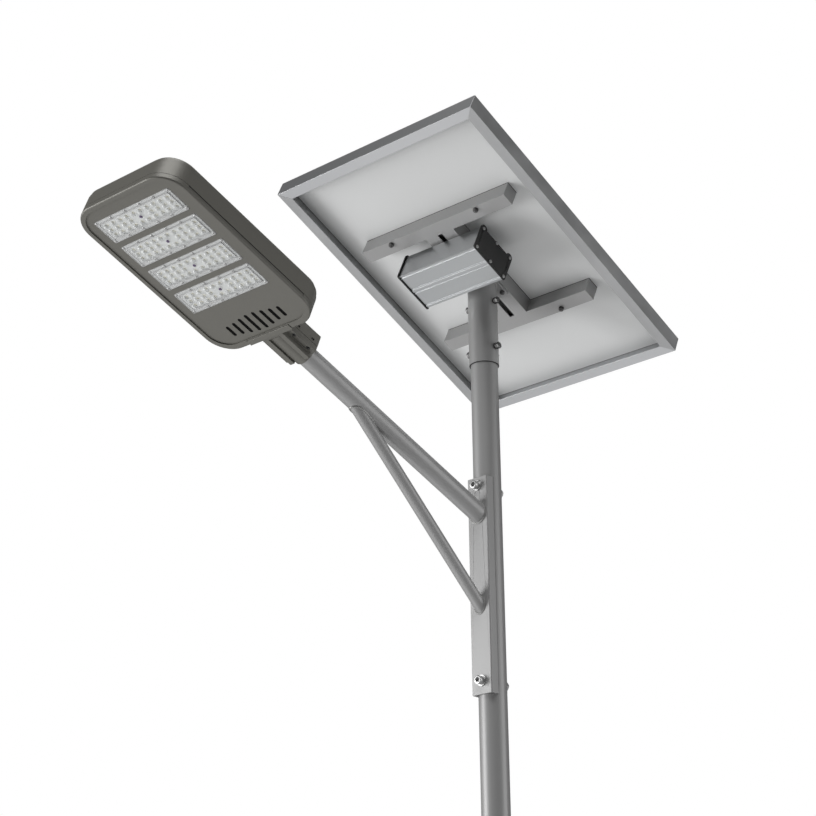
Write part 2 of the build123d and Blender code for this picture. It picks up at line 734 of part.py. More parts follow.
# ---------------------------------------------------------------- solar panel
def make_frame_member(name, corner, inward, run, length):
    """One mitred frame profile: a hollow box with a laminate groove above and a flat lip below."""
    origin = PANEL.from_local_coords(Vector(*corner, 0))
    inward_dir = PANEL.from_local_coords(Vector(*inward, 0)) - PANEL.origin
    run_dir = PANEL.from_local_coords(Vector(*run, 0)) - PANEL.origin
    with BuildPart() as member:
        with BuildSketch(Plane(origin, x_dir=inward_dir, z_dir=run_dir)):
            for low_n, high_n, low_z, high_z in (
                (0, FRAME_WALL, 0, FRAME_H),
                (0, FRAME_LIP, 0, FRAME_WALL),
                (10, 11.5, 0, LAMINATE_Z),
                (0, 11.5, LAMINATE_Z - FRAME_WALL, LAMINATE_Z),
                (0, 8, LAMINATE_Z + BACK_T + GLASS_T, FRAME_H),
            ):
                with Locations(((low_n + high_n) / 2, (low_z + high_z) / 2)):
                    Rectangle(high_n - low_n, high_z - low_z)
        extrude(amount=length)
        split(bisect_by=Plane(origin, z_dir=run_dir - inward_dir), keep=Keep.TOP)
        end = origin + run_dir * length
        split(bisect_by=Plane(end, z_dir=run_dir * -1 - inward_dir), keep=Keep.TOP)
    save(member.part, name)


def make_panel():
    half_w, half_l = PANEL_W / 2, PANEL_L / 2
    make_frame_member("frame_front", (-half_w, -half_l), (0, 1), (1, 0), PANEL_W)
    make_frame_member("frame_right", (half_w, -half_l), (-1, 0), (0, 1), PANEL_L)
    make_frame_member("frame_rear", (half_w, half_l), (0, -1), (-1, 0), PANEL_W)
    make_frame_member("frame_left", (-half_w, half_l), (1, 0), (0, -1), PANEL_L)

    with BuildPart() as keys:
        with BuildSketch(PANEL.offset(4)):
            for sx in (-1, 1):
                for sy in (-1, 1):
                    with Locations((sx * (half_w - 2 - 30), sy * (half_l - 2 - 3.9))):
                        Rectangle(60, 7.8)
                    with Locations((sx * (half_w - 2 - 3.9), sy * (half_l - 2 - 30))):
                        Rectangle(7.8, 60)
        extrude(amount=24)
    save(keys.part, "corner_keys")

    with BuildPart() as glass:
        with BuildSketch(PANEL.offset(LAMINATE_Z + BACK_T)):
            Rectangle(PANEL_W - 2 * FRAME_WALL - 1, PANEL_L - 2 * FRAME_WALL - 1)
        extrude(amount=GLASS_T)
    save(glass.part, "panel_glass")

    pitch_x, pitch_y = CELL_W + CELL_GAP, CELL_L + CELL_GAP
    with BuildPart() as cells:
        with BuildSketch(PANEL.offset(LAMINATE_Z + BACK_T - CELL_T)) as outline:
            with GridLocations(pitch_x, pitch_y, CELL_COLUMNS, CELL_ROWS):
                Rectangle(CELL_W, CELL_L)
            chamfer(outline.vertices(), 5)
        extrude(amount=CELL_T)
    save(cells.part, "solar_cells")

    with BuildPart() as back:
        with BuildSketch(PANEL.offset(LAMINATE_Z)):
            Rectangle(PANEL_W - 2 * FRAME_WALL - 1, PANEL_L - 2 * FRAME_WALL - 1)
        extrude(amount=BACK_T)
        with BuildSketch(PANEL.offset(LAMINATE_Z + BACK_T - CELL_T)) as pocket:
            with GridLocations(pitch_x, pitch_y, CELL_COLUMNS, CELL_ROWS):
                Rectangle(CELL_W, CELL_L)
            chamfer(pocket.vertices(), 5)
        extrude(amount=CELL_T, mode=Mode.SUBTRACT)
    save(back.part, "panel_backsheet")

    with BuildPart() as junction:
        with BuildSketch(PANEL.offset(LAMINATE_Z - 18)):
            with Locations((0, -60)):
                RectangleRounded(62, 78, 5)
        extrude(amount=18)
        chamfer(junction.faces().sort_by(Axis(PANEL.origin, PANEL_UP))[0].edges(), 2)
    save(junction.part, "junction_box")


# ---------------------------------------------------------------- battery box
def case_plane(x):
    """A plane across the battery box at x of the panel's frame: its own x runs to the rear, its y to the sky."""
    origin = PANEL.from_local_coords(Vector(x, CASE_Y, CASE_MID))
    return Plane(origin, x_dir=PANEL.y_dir, z_dir=PANEL.x_dir)


def make_battery_box():
    for name, side in (("battery_case_upper", 1), ("battery_case_lower", -1)):
        wall = CASE_ROOF if side > 0 else CASE_WALL
        with BuildPart() as case:
            with BuildSketch(case_plane(-CASE_L / 2)):
                with Locations((0, side * CASE_H / 4)):
                    Rectangle(CASE_W, CASE_H / 2)
                with Locations((0, side * (CASE_H / 2 - wall) / 2)):
                    Rectangle(CASE_W - 2 * CASE_WALL, CASE_H / 2 - wall, mode=Mode.SUBTRACT)
                with Locations(*[(s, t) for s, t in PORTS if t * side > 0]):
                    Circle(BOSS_R)
                    Circle(1.75, mode=Mode.SUBTRACT)
                if side < 0:
                    for rib_s, rib_w in BASE_RIBS:
                        with Locations((rib_s, -CASE_H / 2)):
                            Rectangle(rib_w, 2)
                    for groove_s, groove_w in BASE_GROOVES:
                        with Locations((groove_s, -CASE_H / 2)):
                            Rectangle(groove_w, 2, mode=Mode.SUBTRACT)
            extrude(amount=CASE_L)
            if side > 0:
                with BuildSketch(PANEL.offset(CASE_TOP + 1)):
                    with Locations(*CASE_BOLTS):
                        Circle(2.55)
                    with Locations((0, GLAND_Y)):
                        Circle(5)
                extrude(amount=-CASE_ROOF - 1, mode=Mode.SUBTRACT)
        save(case.part, name)

    for name, x in (("battery_end_left", -CASE_L / 2 - END_T), ("battery_end_right", CASE_L / 2)):
        with BuildPart() as end:
            with BuildSketch(case_plane(x)):
                with Locations((0, -1.75)):
                    RectangleRounded(END_W, END_H, 4)
                with Locations((-EAR_S, CASE_H / 2 - 2.5), (EAR_S, CASE_H / 2 - 2.5)):
                    Circle(EAR_R)
                with Locations((0, CASE_H / 2 - 2.5)):
                    Circle(EAR_R / 2)
                with Locations(*PORTS):
                    Circle(2.1, mode=Mode.SUBTRACT)
            extrude(amount=END_T)
        save(end.part, name)

    with BuildPart() as screws:
        for x, out in ((-CASE_L / 2 - END_T, -1), (CASE_L / 2 + END_T, 1)):
            with BuildSketch(case_plane(x)):
                with Locations(*PORTS):
                    Circle(3.8)
            extrude(amount=2.4 * out)
            with BuildSketch(case_plane(x)):
                with Locations(*PORTS):
                    Circle(1.7)
            extrude(amount=-18 * out)
    save(screws.part, "end_plate_screws")

    with BuildPart() as bolts:
        with BuildSketch(PANEL.offset(RAIL_FACE + SHEET_T)):
            with Locations(*CASE_BOLTS):
                Circle(5)
        extrude(amount=2.6)
        with BuildSketch(PANEL.offset(RAIL_FACE + SHEET_T)):
            with Locations(*CASE_BOLTS):
                Circle(2.5)
        extrude(amount=-SHEET_T - SPACER_T - CASE_ROOF + 0.2)
    save(bolts.part, "battery_case_bolts")

    with BuildPart() as spacers:
        with BuildSketch(PANEL.offset(CASE_TOP)):
            with Locations(*CASE_BOLTS):
                Circle(6)
                Circle(2.6, mode=Mode.SUBTRACT)
        extrude(amount=SPACER_T)
    save(spacers.part, "case_spacers")

    with BuildPart() as gland:
        with BuildSketch(PANEL.offset(CASE_TOP - CASE_ROOF - GLAND_NUT_T)):
            with Locations((0, GLAND_Y)):
                hex_nut_outline(12)
        extrude(amount=GLAND_NUT_T)
        with BuildSketch(PANEL.offset(CASE_TOP - CASE_ROOF)):
            with Locations((0, GLAND_Y)):
                Circle(4.9)
        extrude(amount=CASE_ROOF)
        with BuildSketch(PANEL.offset(CASE_TOP)):
            with Locations((0, GLAND_Y)):
                hex_nut_outline(10)
        extrude(amount=GLAND_OUT)
        with BuildSketch(PANEL.offset(CASE_TOP - CASE_ROOF - GLAND_NUT_T)):
            with Locations((0, GLAND_Y)):
                Circle(2.6)
        extrude(amount=GLAND_NUT_T + CASE_ROOF + GLAND_OUT, mode=Mode.SUBTRACT)
    save(gland.part, "battery_gland")

    places = [(s, t) for s in (-33, -5, 23) for t in (-13.2, 13.2)]
    with BuildPart() as cells:
        for x in (-104, -36):
            with BuildSketch(case_plane(x)):
                with Locations(*places):
                    Circle(CELL_R)
            extrude(amount=CELL_LENGTH)
    save(cells.part, "battery_cells")

    with BuildPart() as holders:
        for x in (-92, -44, -24, 12):
            with BuildSketch(case_plane(x)):
                with Locations((-5, 0)):
                    RectangleRounded(82, 53.4, 4)
                with Locations(*places):
                    Circle(CELL_R + 0.05, mode=Mode.SUBTRACT)
                with Locations(*PORTS):
                    Circle(BOSS_R + 0.6, mode=Mode.SUBTRACT)
            extrude(amount=4)
    save(holders.part, "cell_holders")

    with BuildPart() as controller:
        with BuildSketch(case_plane(40)):
            RectangleRounded(88, 50, 2)
        extrude(amount=1.6)
        with BuildSketch(case_plane(41.6)):
            with Locations((-20, 0)):
                Rectangle(38, 40)
        extrude(amount=22)
        with BuildSketch(case_plane(41.6)):
            with Locations((14, 12), (14, -12), (32, 12)):
                Circle(6)
        extrude(amount=20)
    save(controller.part, "charge_controller")


def main():
    make_base()
    make_pole()
    make_arm()
    make_faceplate()
    make_housing()
    make_saddle()
    make_modules()
    make_lamp_electrics()
    make_sleeve()
    make_panel_bracket()
    make_panel()
    make_battery_box()


main()
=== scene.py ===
"""Looks of the solar street lamp: finishes, rounded edges, fasteners, LED modules, welds, seals and the studio.

The CAD model is loaded as it is. Small parts that need more shape than the CAD gives them are built here, and
stand for their CAD pieces. Sizes are millimetres in the constants and builders, and metres once a point is
placed. The model's frame has +Z up the pole, -Y the way the arm points and +X across."""

import json
import math

import bmesh
import bpy
from mathutils import Matrix, Vector
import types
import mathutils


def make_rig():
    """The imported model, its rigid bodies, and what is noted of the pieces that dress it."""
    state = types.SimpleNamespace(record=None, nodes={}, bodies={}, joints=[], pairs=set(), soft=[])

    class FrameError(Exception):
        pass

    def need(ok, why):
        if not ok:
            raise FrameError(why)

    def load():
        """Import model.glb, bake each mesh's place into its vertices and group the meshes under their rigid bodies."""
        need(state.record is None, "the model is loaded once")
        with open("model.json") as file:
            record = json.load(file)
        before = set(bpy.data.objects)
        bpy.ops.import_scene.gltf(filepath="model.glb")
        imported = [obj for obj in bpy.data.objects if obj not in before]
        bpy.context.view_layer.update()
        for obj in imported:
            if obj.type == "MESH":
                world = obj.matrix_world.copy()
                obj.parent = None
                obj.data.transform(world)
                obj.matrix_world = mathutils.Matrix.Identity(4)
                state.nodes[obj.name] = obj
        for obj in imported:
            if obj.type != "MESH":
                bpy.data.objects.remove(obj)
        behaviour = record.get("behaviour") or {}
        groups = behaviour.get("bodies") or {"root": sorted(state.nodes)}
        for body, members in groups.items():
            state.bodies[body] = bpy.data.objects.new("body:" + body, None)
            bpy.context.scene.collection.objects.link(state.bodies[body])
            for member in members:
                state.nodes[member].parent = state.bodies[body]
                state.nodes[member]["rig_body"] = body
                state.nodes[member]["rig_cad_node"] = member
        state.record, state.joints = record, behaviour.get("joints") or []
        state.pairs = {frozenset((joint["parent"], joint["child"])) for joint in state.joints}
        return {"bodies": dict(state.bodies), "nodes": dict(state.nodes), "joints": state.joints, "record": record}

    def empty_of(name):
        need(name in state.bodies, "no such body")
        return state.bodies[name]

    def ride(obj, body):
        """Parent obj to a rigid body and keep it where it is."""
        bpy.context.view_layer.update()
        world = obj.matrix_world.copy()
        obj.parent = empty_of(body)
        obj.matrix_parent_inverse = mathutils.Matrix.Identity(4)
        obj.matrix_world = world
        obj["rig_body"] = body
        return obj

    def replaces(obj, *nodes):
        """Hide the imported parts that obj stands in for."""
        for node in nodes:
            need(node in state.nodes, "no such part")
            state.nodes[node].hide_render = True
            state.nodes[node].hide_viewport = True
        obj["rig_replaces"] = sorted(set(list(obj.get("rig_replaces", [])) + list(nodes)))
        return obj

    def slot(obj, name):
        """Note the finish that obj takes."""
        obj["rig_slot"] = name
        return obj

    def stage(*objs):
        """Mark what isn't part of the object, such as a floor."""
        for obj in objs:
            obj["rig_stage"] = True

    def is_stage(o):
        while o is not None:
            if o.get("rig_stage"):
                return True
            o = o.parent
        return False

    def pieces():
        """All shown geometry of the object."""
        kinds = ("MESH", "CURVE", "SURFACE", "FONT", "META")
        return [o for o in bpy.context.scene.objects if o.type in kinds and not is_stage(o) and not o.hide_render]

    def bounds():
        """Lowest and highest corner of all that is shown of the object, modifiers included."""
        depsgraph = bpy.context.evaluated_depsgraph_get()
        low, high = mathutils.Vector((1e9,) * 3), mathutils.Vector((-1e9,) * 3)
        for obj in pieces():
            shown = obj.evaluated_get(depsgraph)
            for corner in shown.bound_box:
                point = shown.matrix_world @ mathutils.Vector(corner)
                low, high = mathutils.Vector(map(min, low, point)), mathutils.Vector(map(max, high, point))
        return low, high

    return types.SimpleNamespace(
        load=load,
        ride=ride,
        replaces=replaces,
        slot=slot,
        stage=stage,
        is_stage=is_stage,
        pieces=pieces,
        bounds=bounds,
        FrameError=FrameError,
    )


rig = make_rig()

bl_info = {
    "name": "Solar street lamp finishes",
    "version": (1, 0, 0),
    "blender": (4, 5, 0),
    "location": "3D View > Sidebar > Street lamp",
    "description": "Finishes and fine parts of a solar street lamp",
    "category": "Object",
}

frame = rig.load()
CAD_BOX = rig.bounds()
NODES = frame["nodes"]
MM = 0.001

# ---------------------------------------------------------------- sizes of the CAD model that the parts follow
POLE_R = 30.15
FLANGE_T = 12
GUSSET_HALF_T = 4
GUSSET_H = 128
GUSSET_REACH = 98
FACE_Y = -35.15
ARM_R = 21.2
ARM_TILT = math.radians(21.2)
ARM_ROOT_Z = 2930
STRUT_R = 13.45
STRUT_ROOT_Z = 2726
STRUT_MEETS_Y = -435.5
BRACKET_BOLT_Z = (2565, 2991)
WASHER_T = 2.5
LAMP_REACH = 868.5
AXIS_H = 26
MODULES = [-150.5 + 72.7 * i for i in range(4)]
MODULE_SCREWS = [(x, y) for x in (-100, -60, -20, 20, 60, 100) for y in (-25.5, 25.5)]
LENS_FACE = 2.2
LED_BACK = 5.9
LED_FACE = 4.96
LED_PITCH = 18.85
LED_ROW = 12.6
VENT_LENGTHS = (48, 42, 34, 29)
VENT_Y = 170
VENT_W = 7.9
VENT_FACE = 2.9
GAUZE_T = 0.5
PANEL_TILT = math.radians(25)
PANEL_Y = -18
PANEL_Z = 3502
PANEL_W = 567
PANEL_L = 775
LAMINATE_Z = 32
GLASS_TOP = 36.5
CELL_PITCH_X = 131
CELL_PITCH_Y = 82.5
RAIL_FACE = -8
RAIL_STUDS = [(x, y) for x in (-123.5, 123.5) for y in (-159, 164.5)]
HEAD_PLATE_T = 5
HEAD_BOLTS = [(x, y) for x in (-30, 30) for y in (-4, 64)]
SLEEVE_R = 33
SLEEVE_BOTTOM = 3280
WIPER_R = 31.6
SET_BOLT_Z = (3318, 3428)
SET_BOLT_DIRECTIONS = ((1, 0, 0), (-1, 0, 0), (0, 1, 0))
SET_HEAD_R = 40
CASE_Y = -64
CASE_MID = -46.5
CASE_END = 113
PORTS = [(s, t) for s in (-48, 0, 48) for t in (-29, 29)]


# ---------------------------------------------------------------- frames
def head_frame(origin, up):
    """A frame whose z is up, whose x runs across the lamp, and whose y leans towards the rear."""
    across = Vector((1, 0, 0))
    rear = up.cross(across)
    return Matrix.Translation(origin * MM) @ Matrix((across, rear, up)).transposed().to_4x4()


ARM_DIR = Vector((0, -math.cos(ARM_TILT), math.sin(ARM_TILT)))
ARM_UP = Vector((0, math.sin(ARM_TILT), math.cos(ARM_TILT)))
ARM_ROOT = Vector((0, FACE_Y, ARM_ROOT_Z))
PANEL_UP = Vector((0, math.sin(PANEL_TILT), math.cos(PANEL_TILT)))
LAMP = head_frame(ARM_ROOT + ARM_DIR * LAMP_REACH - ARM_UP * AXIS_H, ARM_UP)
PANEL = head_frame(Vector((0, PANEL_Y, PANEL_Z)), PANEL_UP)


def stand(point, direction):
    """A frame at a point in millimetres, with its z along a direction."""
    turn = Vector(direction).to_track_quat("Z", "Y").to_matrix().to_4x4()
    return Matrix.Translation(Vector(point) * MM) @ turn


# ---------------------------------------------------------------- properties
class LampFinishes(bpy.types.PropertyGroup):
    """Colours and wear that a user would change."""

    paint: bpy.props.FloatVectorProperty(
        name="Steel coat", description="Colour of the coat on the pole, arm and brackets", subtype="COLOR",
        size=4, min=0, max=1, default=(0.36, 0.36, 0.355, 1))
    head: bpy.props.FloatVectorProperty(
        name="Lamp head", description="Colour of the cast lamp head's powder coat", subtype="COLOR",
        size=4, min=0, max=1, default=(0.31, 0.3, 0.268, 1))
    film: bpy.props.FloatVectorProperty(
        name="Backsheet", description="Colour of the film behind the cells", subtype="COLOR",
        size=4, min=0, max=1, default=(0.55, 0.55, 0.55, 1))
    cells: bpy.props.FloatVectorProperty(
        name="Cells", description="Colour of the silicon", subtype="COLOR",
        size=4, min=0, max=1, default=(0.012, 0.018, 0.05, 1))
    wear: bpy.props.FloatProperty(
        name="Wear", description="How strongly the coats are mottled", subtype="FACTOR",
        min=0, max=1, default=0.4)


class FineParts(bpy.types.PropertyGroup):
    """Sizes of the parts that are built here."""

    weld: bpy.props.FloatProperty(
        name="Weld bead", description="Radius of the weld beads", subtype="DISTANCE", unit="LENGTH",
        min=0.001, max=0.006, default=0.0028)
    ripple: bpy.props.FloatProperty(
        name="Weld ripple", description="Length of one ripple of the weld beads", subtype="DISTANCE",
        unit="LENGTH", min=0.001, max=0.01, default=0.0032)
    edge: bpy.props.FloatProperty(
        name="Edge round", description="Radius on the folded and cast edges", subtype="DISTANCE",
        unit="LENGTH", min=0.0001, max=0.003, default=0.0006)


class Studio(bpy.types.PropertyGroup):
    """The camera and the light."""

    place: bpy.props.FloatVectorProperty(
        name="Camera place", description="Where the camera stands", subtype="TRANSLATION", size=3,
        unit="LENGTH", default=(2.5339, -3.0941, 1.5912))
    azimuth: bpy.props.FloatProperty(
        name="Azimuth", description="Which way the camera looks, turned left from +Y", subtype="ANGLE",
        default=math.radians(41.745))
    elevation: bpy.props.FloatProperty(
        name="Elevation", description="How far above the horizon the camera looks", subtype="ANGLE",
        default=math.radians(21.715))
    roll: bpy.props.FloatProperty(
        name="Roll", description="How far the camera leans", subtype="ANGLE", default=math.radians(-0.611))
    lens: bpy.props.FloatProperty(
        name="Lens", description="Focal length on a 36 mm sensor", subtype="DISTANCE_CAMERA",
        unit="CAMERA", min=10, max=300, default=86.57)
    key: bpy.props.FloatProperty(
        name="Key", description="Power of the light on the left", subtype="POWER", unit="POWER",
        min=0, default=205)
    under: bpy.props.FloatProperty(
        name="Under", description="Power of the light from below", subtype="POWER", unit="POWER",
        min=0, default=20)
    rim: bpy.props.FloatProperty(
        name="Rim", description="Power of the light on the right", subtype="POWER", unit="POWER",
        min=0, default=58)
    top: bpy.props.FloatProperty(
        name="Top", description="Power of the light from above", subtype="POWER", unit="POWER",
        min=0, default=135)
    ambient: bpy.props.FloatProperty(
        name="Ambient", description="Strength of the light from all round", subtype="FACTOR",
        min=0, max=2, default=0.06)


# ---------------------------------------------------------------- shader helpers
def node(tree, kind, feeds=(), **settings):
    """Adds a node, sets its attributes, and feeds its inputs with values or other nodes' outputs."""
    made = tree.nodes.new(kind)
    for key, value in settings.items():
        setattr(made, key, value)
    for label, source in feeds:
        if isinstance(source, bpy.types.NodeSocket):
            tree.links.new(source, made.inputs[label])
        else:
            made.inputs[label].default_value = source
    return made


def new_group(name, inputs, outputs):
    """An empty shader node group with its sockets; returns the tree, its input node and its output node."""
    tree = bpy.data.node_groups.new(name, "ShaderNodeTree")
    for label, kind, value in inputs:
        tree.interface.new_socket(name=label, in_out="INPUT", socket_type=kind).default_value = value
    for label, kind in outputs:
        tree.interface.new_socket(name=label, in_out="OUTPUT", socket_type=kind)
    return tree, tree.nodes.new("NodeGroupInput"), tree.nodes.new("NodeGroupOutput")


def stretched(tree, scale):
    """Object coordinates in metres, scaled along each axis."""
    place = node(tree, "ShaderNodeTexCoord")
    return node(tree, "ShaderNodeMapping", [("Vector", place.outputs["Object"]), ("Scale", scale)]).outputs[0]


def noise(tree, vector, scale, detail=3.0):
    feeds = [("Vector", vector), ("Scale", scale), ("Detail", detail), ("Roughness", 0.55)]
    return node(tree, "ShaderNodeTexNoise", feeds).outputs["Fac"]


def spread(tree, value, low, high):
    """A noise value, mostly 0.3 to 0.7, spread over low to high."""
    feeds = [("Value", value), ("From Min", 0.3), ("From Max", 0.7), ("To Min", low), ("To Max", high)]
    return node(tree, "ShaderNodeMapRange", feeds).outputs[0]


def tint(tree, colour, brightness):
    """A colour made brighter or darker by a value round 1."""
    scaled = node(tree, "ShaderNodeVectorMath", [(0, colour), ("Scale", brightness)], operation="SCALE")
    return scaled.outputs[0]


def maths(tree, operation, *values):
    return node(tree, "ShaderNodeMath", list(enumerate(values)), operation=operation).outputs[0]


def mixed(tree, factor, first, second):
    return node(tree, "ShaderNodeMix", [(0, factor), (6, first), (7, second)], data_type="RGBA").outputs[2]


COLOUR = "NodeSocketColor"
FLOAT = "NodeSocketFloat"
SURFACE = [("Colour", COLOUR), ("Roughness", FLOAT), ("Height", FLOAT)]


def put_out(tree, end, colour, roughness, height):
    tree.links.new(colour, end.inputs["Colour"])
    tree.links.new(roughness, end.inputs["Roughness"])
    tree.links.new(height, end.inputs["Height"])
    return tree


def coat_group():
    """A sprayed coat: broad mottling, faint runs down the surface and orange peel."""
    tree, start, end = new_group(
        "sprayed_coat", [("Colour", COLOUR, (0.4, 0.4, 0.4, 1)), ("Wear", FLOAT, 0.4)], SURFACE)
    broad = noise(tree, stretched(tree, (1, 1, 1)), 8)
    runs = noise(tree, stretched(tree, (70, 70, 2.5)), 1)
    both = maths(tree, "ADD", broad, runs)
    swing = maths(tree, "MULTIPLY", maths(tree, "SUBTRACT", both, 1.0), start.outputs["Wear"])
    colour = tint(tree, start.outputs["Colour"], maths(tree, "ADD", swing, 1.0))
    rough = spread(tree, broad, 0.36, 0.5)
    peel = noise(tree, stretched(tree, (1, 1, 1)), 420, 2)
    return put_out(tree, end, colour, rough, peel)


def casting_group():
    """A powder coat on a casting: fine grain over soft patches."""
    tree, start, end = new_group(
        "cast_powder", [("Colour", COLOUR, (0.2, 0.2, 0.2, 1)), ("Wear", FLOAT, 0.4)], SURFACE)
    patches = noise(tree, stretched(tree, (1, 1, 1)), 14)
    swing = maths(tree, "MULTIPLY", maths(tree, "SUBTRACT", patches, 0.5), start.outputs["Wear"])
    colour = tint(tree, start.outputs["Colour"], maths(tree, "ADD", swing, 1.0))
    grain = noise(tree, stretched(tree, (1, 1, 1)), 1300, 2)
    return put_out(tree, end, colour, spread(tree, grain, 0.44, 0.6), grain)


def drawn_group():
    """Drawn metal: long fine die lines along one way of the surface."""
    inputs = [("Colour", COLOUR, (0.5, 0.5, 0.5, 1)), ("Lines", "NodeSocketVector", (1, 1, 1))]
    tree, start, end = new_group("drawn_metal", inputs, SURFACE)
    place = node(tree, "ShaderNodeTexCoord")
    lines = node(tree, "ShaderNodeMapping",
                 [("Vector", place.outputs["Object"]), ("Scale", start.outputs["Lines"])]).outputs[0]
    fine = noise(tree, lines, 1, 4)
    patches = noise(tree, stretched(tree, (1, 1, 1)), 10)
    brightness = maths(tree, "ADD", spread(tree, fine, -0.05, 0.05), spread(tree, patches, 0.94, 1.04))
    colour = tint(tree, start.outputs["Colour"], brightness)
    return put_out(tree, end, colour, spread(tree, fine, 0.36, 0.5), fine)


def zinc_group():
    """Zinc plate: small crystals of slightly different brightness."""
    tree, start, end = new_group("zinc_plate", [("Colour", COLOUR, (0.5, 0.5, 0.5, 1))], SURFACE)
    place = stretched(tree, (1, 1, 1))
    crystals = node(tree, "ShaderNodeTexVoronoi", [("Vector", place), ("Scale", 650)]).outputs["Distance"]
    stains = noise(tree, place, 90)
    brightness = maths(tree, "ADD", maths(tree, "MULTIPLY", crystals, 0.18), spread(tree, stains, 0.78, 1.05))
    return put_out(tree, end, tint(tree, start.outputs["Colour"], brightness), spread(tree, stains, 0.3, 0.5),
                   crystals)


def moulded_group():
    """Moulded plastic or rubber: a fine spark-eroded grain with dull patches."""
    tree, start, end = new_group("moulded_grain", [("Colour", COLOUR, (0.03, 0.03, 0.03, 1))], SURFACE)
    place = stretched(tree, (1, 1, 1))
    dull = noise(tree, place, 30)
    grain = noise(tree, place, 1800, 1)
    return put_out(tree, end, tint(tree, start.outputs["Colour"], spread(tree, dull, 0.85, 1.2)),
                   spread(tree, dull, 0.45, 0.65), grain)


def panel_place(tree):
    """Coordinates in the panel's own frame, in metres."""
    place = node(tree, "ShaderNodeTexCoord")
    feeds = [("Vector", place.outputs["Object"]), ("Location", PANEL.translation),
             ("Rotation", PANEL.to_euler())]
    return node(tree, "ShaderNodeMapping", feeds, vector_type="TEXTURE").outputs[0]


def near_line(tree, position, pitch, offset, half_width):
    """1 near the lines that repeat every pitch from offset, else 0; all in metres."""
    shifted = maths(tree, "SUBTRACT", position, offset)
    away = maths(tree, "PINGPONG", shifted, pitch / 2)
    return maths(tree, "LESS_THAN", away, half_width)


def cells_group():
    """Silicon cells: silver busbars and fingers, a shade of its own for each cell, and faint crystals."""
    tree, start, end = new_group("cell_print", [("Colour", COLOUR, (0.01, 0.02, 0.05, 1))], SURFACE)
    place = panel_place(tree)
    parts = node(tree, "ShaderNodeSeparateXYZ", [(0, place)])
    bars = near_line(tree, parts.outputs["X"], CELL_PITCH_X / 3 * MM, CELL_PITCH_X / 6 * MM, 0.8 * MM)
    fingers = near_line(tree, parts.outputs["Y"], 2.2 * MM, 0, 0.09 * MM)
    silver = maths(tree, "MAXIMUM", bars, maths(tree, "MULTIPLY", fingers, 0.45))
    column = maths(tree, "FLOOR", maths(tree, "DIVIDE", parts.outputs["X"], CELL_PITCH_X * MM))
    rows_along = maths(tree, "DIVIDE", parts.outputs["Y"], CELL_PITCH_Y * MM)
    row = maths(tree, "FLOOR", maths(tree, "ADD", rows_along, 0.5))
    number = maths(tree, "ADD", maths(tree, "MULTIPLY", column, 17.0), row)
    shade = node(tree, "ShaderNodeTexWhiteNoise", [("W", number)], noise_dimensions="1D").outputs["Value"]
    crystals = node(tree, "ShaderNodeTexVoronoi", [("Vector", place), ("Scale", 90)]).outputs["Distance"]
    brightness = maths(tree, "ADD", maths(tree, "MULTIPLY", shade, 0.5),
                       maths(tree, "ADD", maths(tree, "MULTIPLY", crystals, 0.25), 0.7))
    colour = mixed(tree, silver, tint(tree, start.outputs["Colour"], brightness), (0.5, 0.51, 0.53, 1))
    return put_out(tree, end, colour, spread(tree, crystals, 0.2, 0.35), silver)


def film_painted_shade_group():
    """Backsheet film: slightly uneven, with faint relief where the cells' edges and ribbons lie; its colour is darker
    at the cell gaps and lighter on the ribbons, which is painted shade in the dips and painted highlight on the
    ridges.
    """
    tree, start, end = new_group("laminated_film_painted_shade", [("Colour", COLOUR, (0.6, 0.6, 0.6, 1))], SURFACE)
    place = panel_place(tree)
    parts = node(tree, "ShaderNodeSeparateXYZ", [(0, place)])
    gaps_x = near_line(tree, parts.outputs["X"], CELL_PITCH_X * MM, 0, 1.6 * MM)
    gaps_y = near_line(tree, parts.outputs["Y"], CELL_PITCH_Y * MM, CELL_PITCH_Y / 2 * MM, 1.6 * MM)
    bars = near_line(tree, parts.outputs["X"], CELL_PITCH_X / 3 * MM, CELL_PITCH_X / 6 * MM, 1.2 * MM)
    waves = noise(tree, place, 12)
    relief = maths(tree, "ADD", maths(tree, "MULTIPLY", maths(tree, "MAXIMUM", gaps_x, gaps_y), -0.4),
                   maths(tree, "MULTIPLY", bars, 0.5))
    # painted shade and highlight: the colour follows the relief, darker at the cell gaps and lighter on the ribbons
    brightness = maths(tree, "ADD", spread(tree, waves, 0.96, 1.02), maths(tree, "MULTIPLY", relief, 0.03))
    height = maths(tree, "ADD", relief, waves)
    colour = tint(tree, start.outputs["Colour"], brightness)
    return put_out(tree, end, colour, spread(tree, waves, 0.42, 0.55), height)


def board_group():
    """A printed board or phosphor: faint tracks and unevenness."""
    tree, start, end = new_group("printed_board", [("Colour", COLOUR, (0.8, 0.8, 0.8, 1))], SURFACE)
    place = stretched(tree, (1, 1, 1))
    tracks = node(tree, "ShaderNodeTexBrick",
                  [("Vector", place), ("Scale", 55), ("Mortar Size", 0.02), ("Color1", (1, 1, 1, 1)),
                   ("Color2", (0.95, 0.95, 0.95, 1)), ("Mortar", (0.8, 0.8, 0.78, 1))]).outputs["Fac"]
    uneven = noise(tree, place, 300)
    shade = maths(tree, "MULTIPLY", tracks, 0.12)
    brightness = maths(tree, "SUBTRACT", spread(tree, uneven, 0.94, 1.04), shade)
    colour = tint(tree, start.outputs["Colour"], brightness)
    return put_out(tree, end, colour, spread(tree, uneven, 0.35, 0.5), uneven)


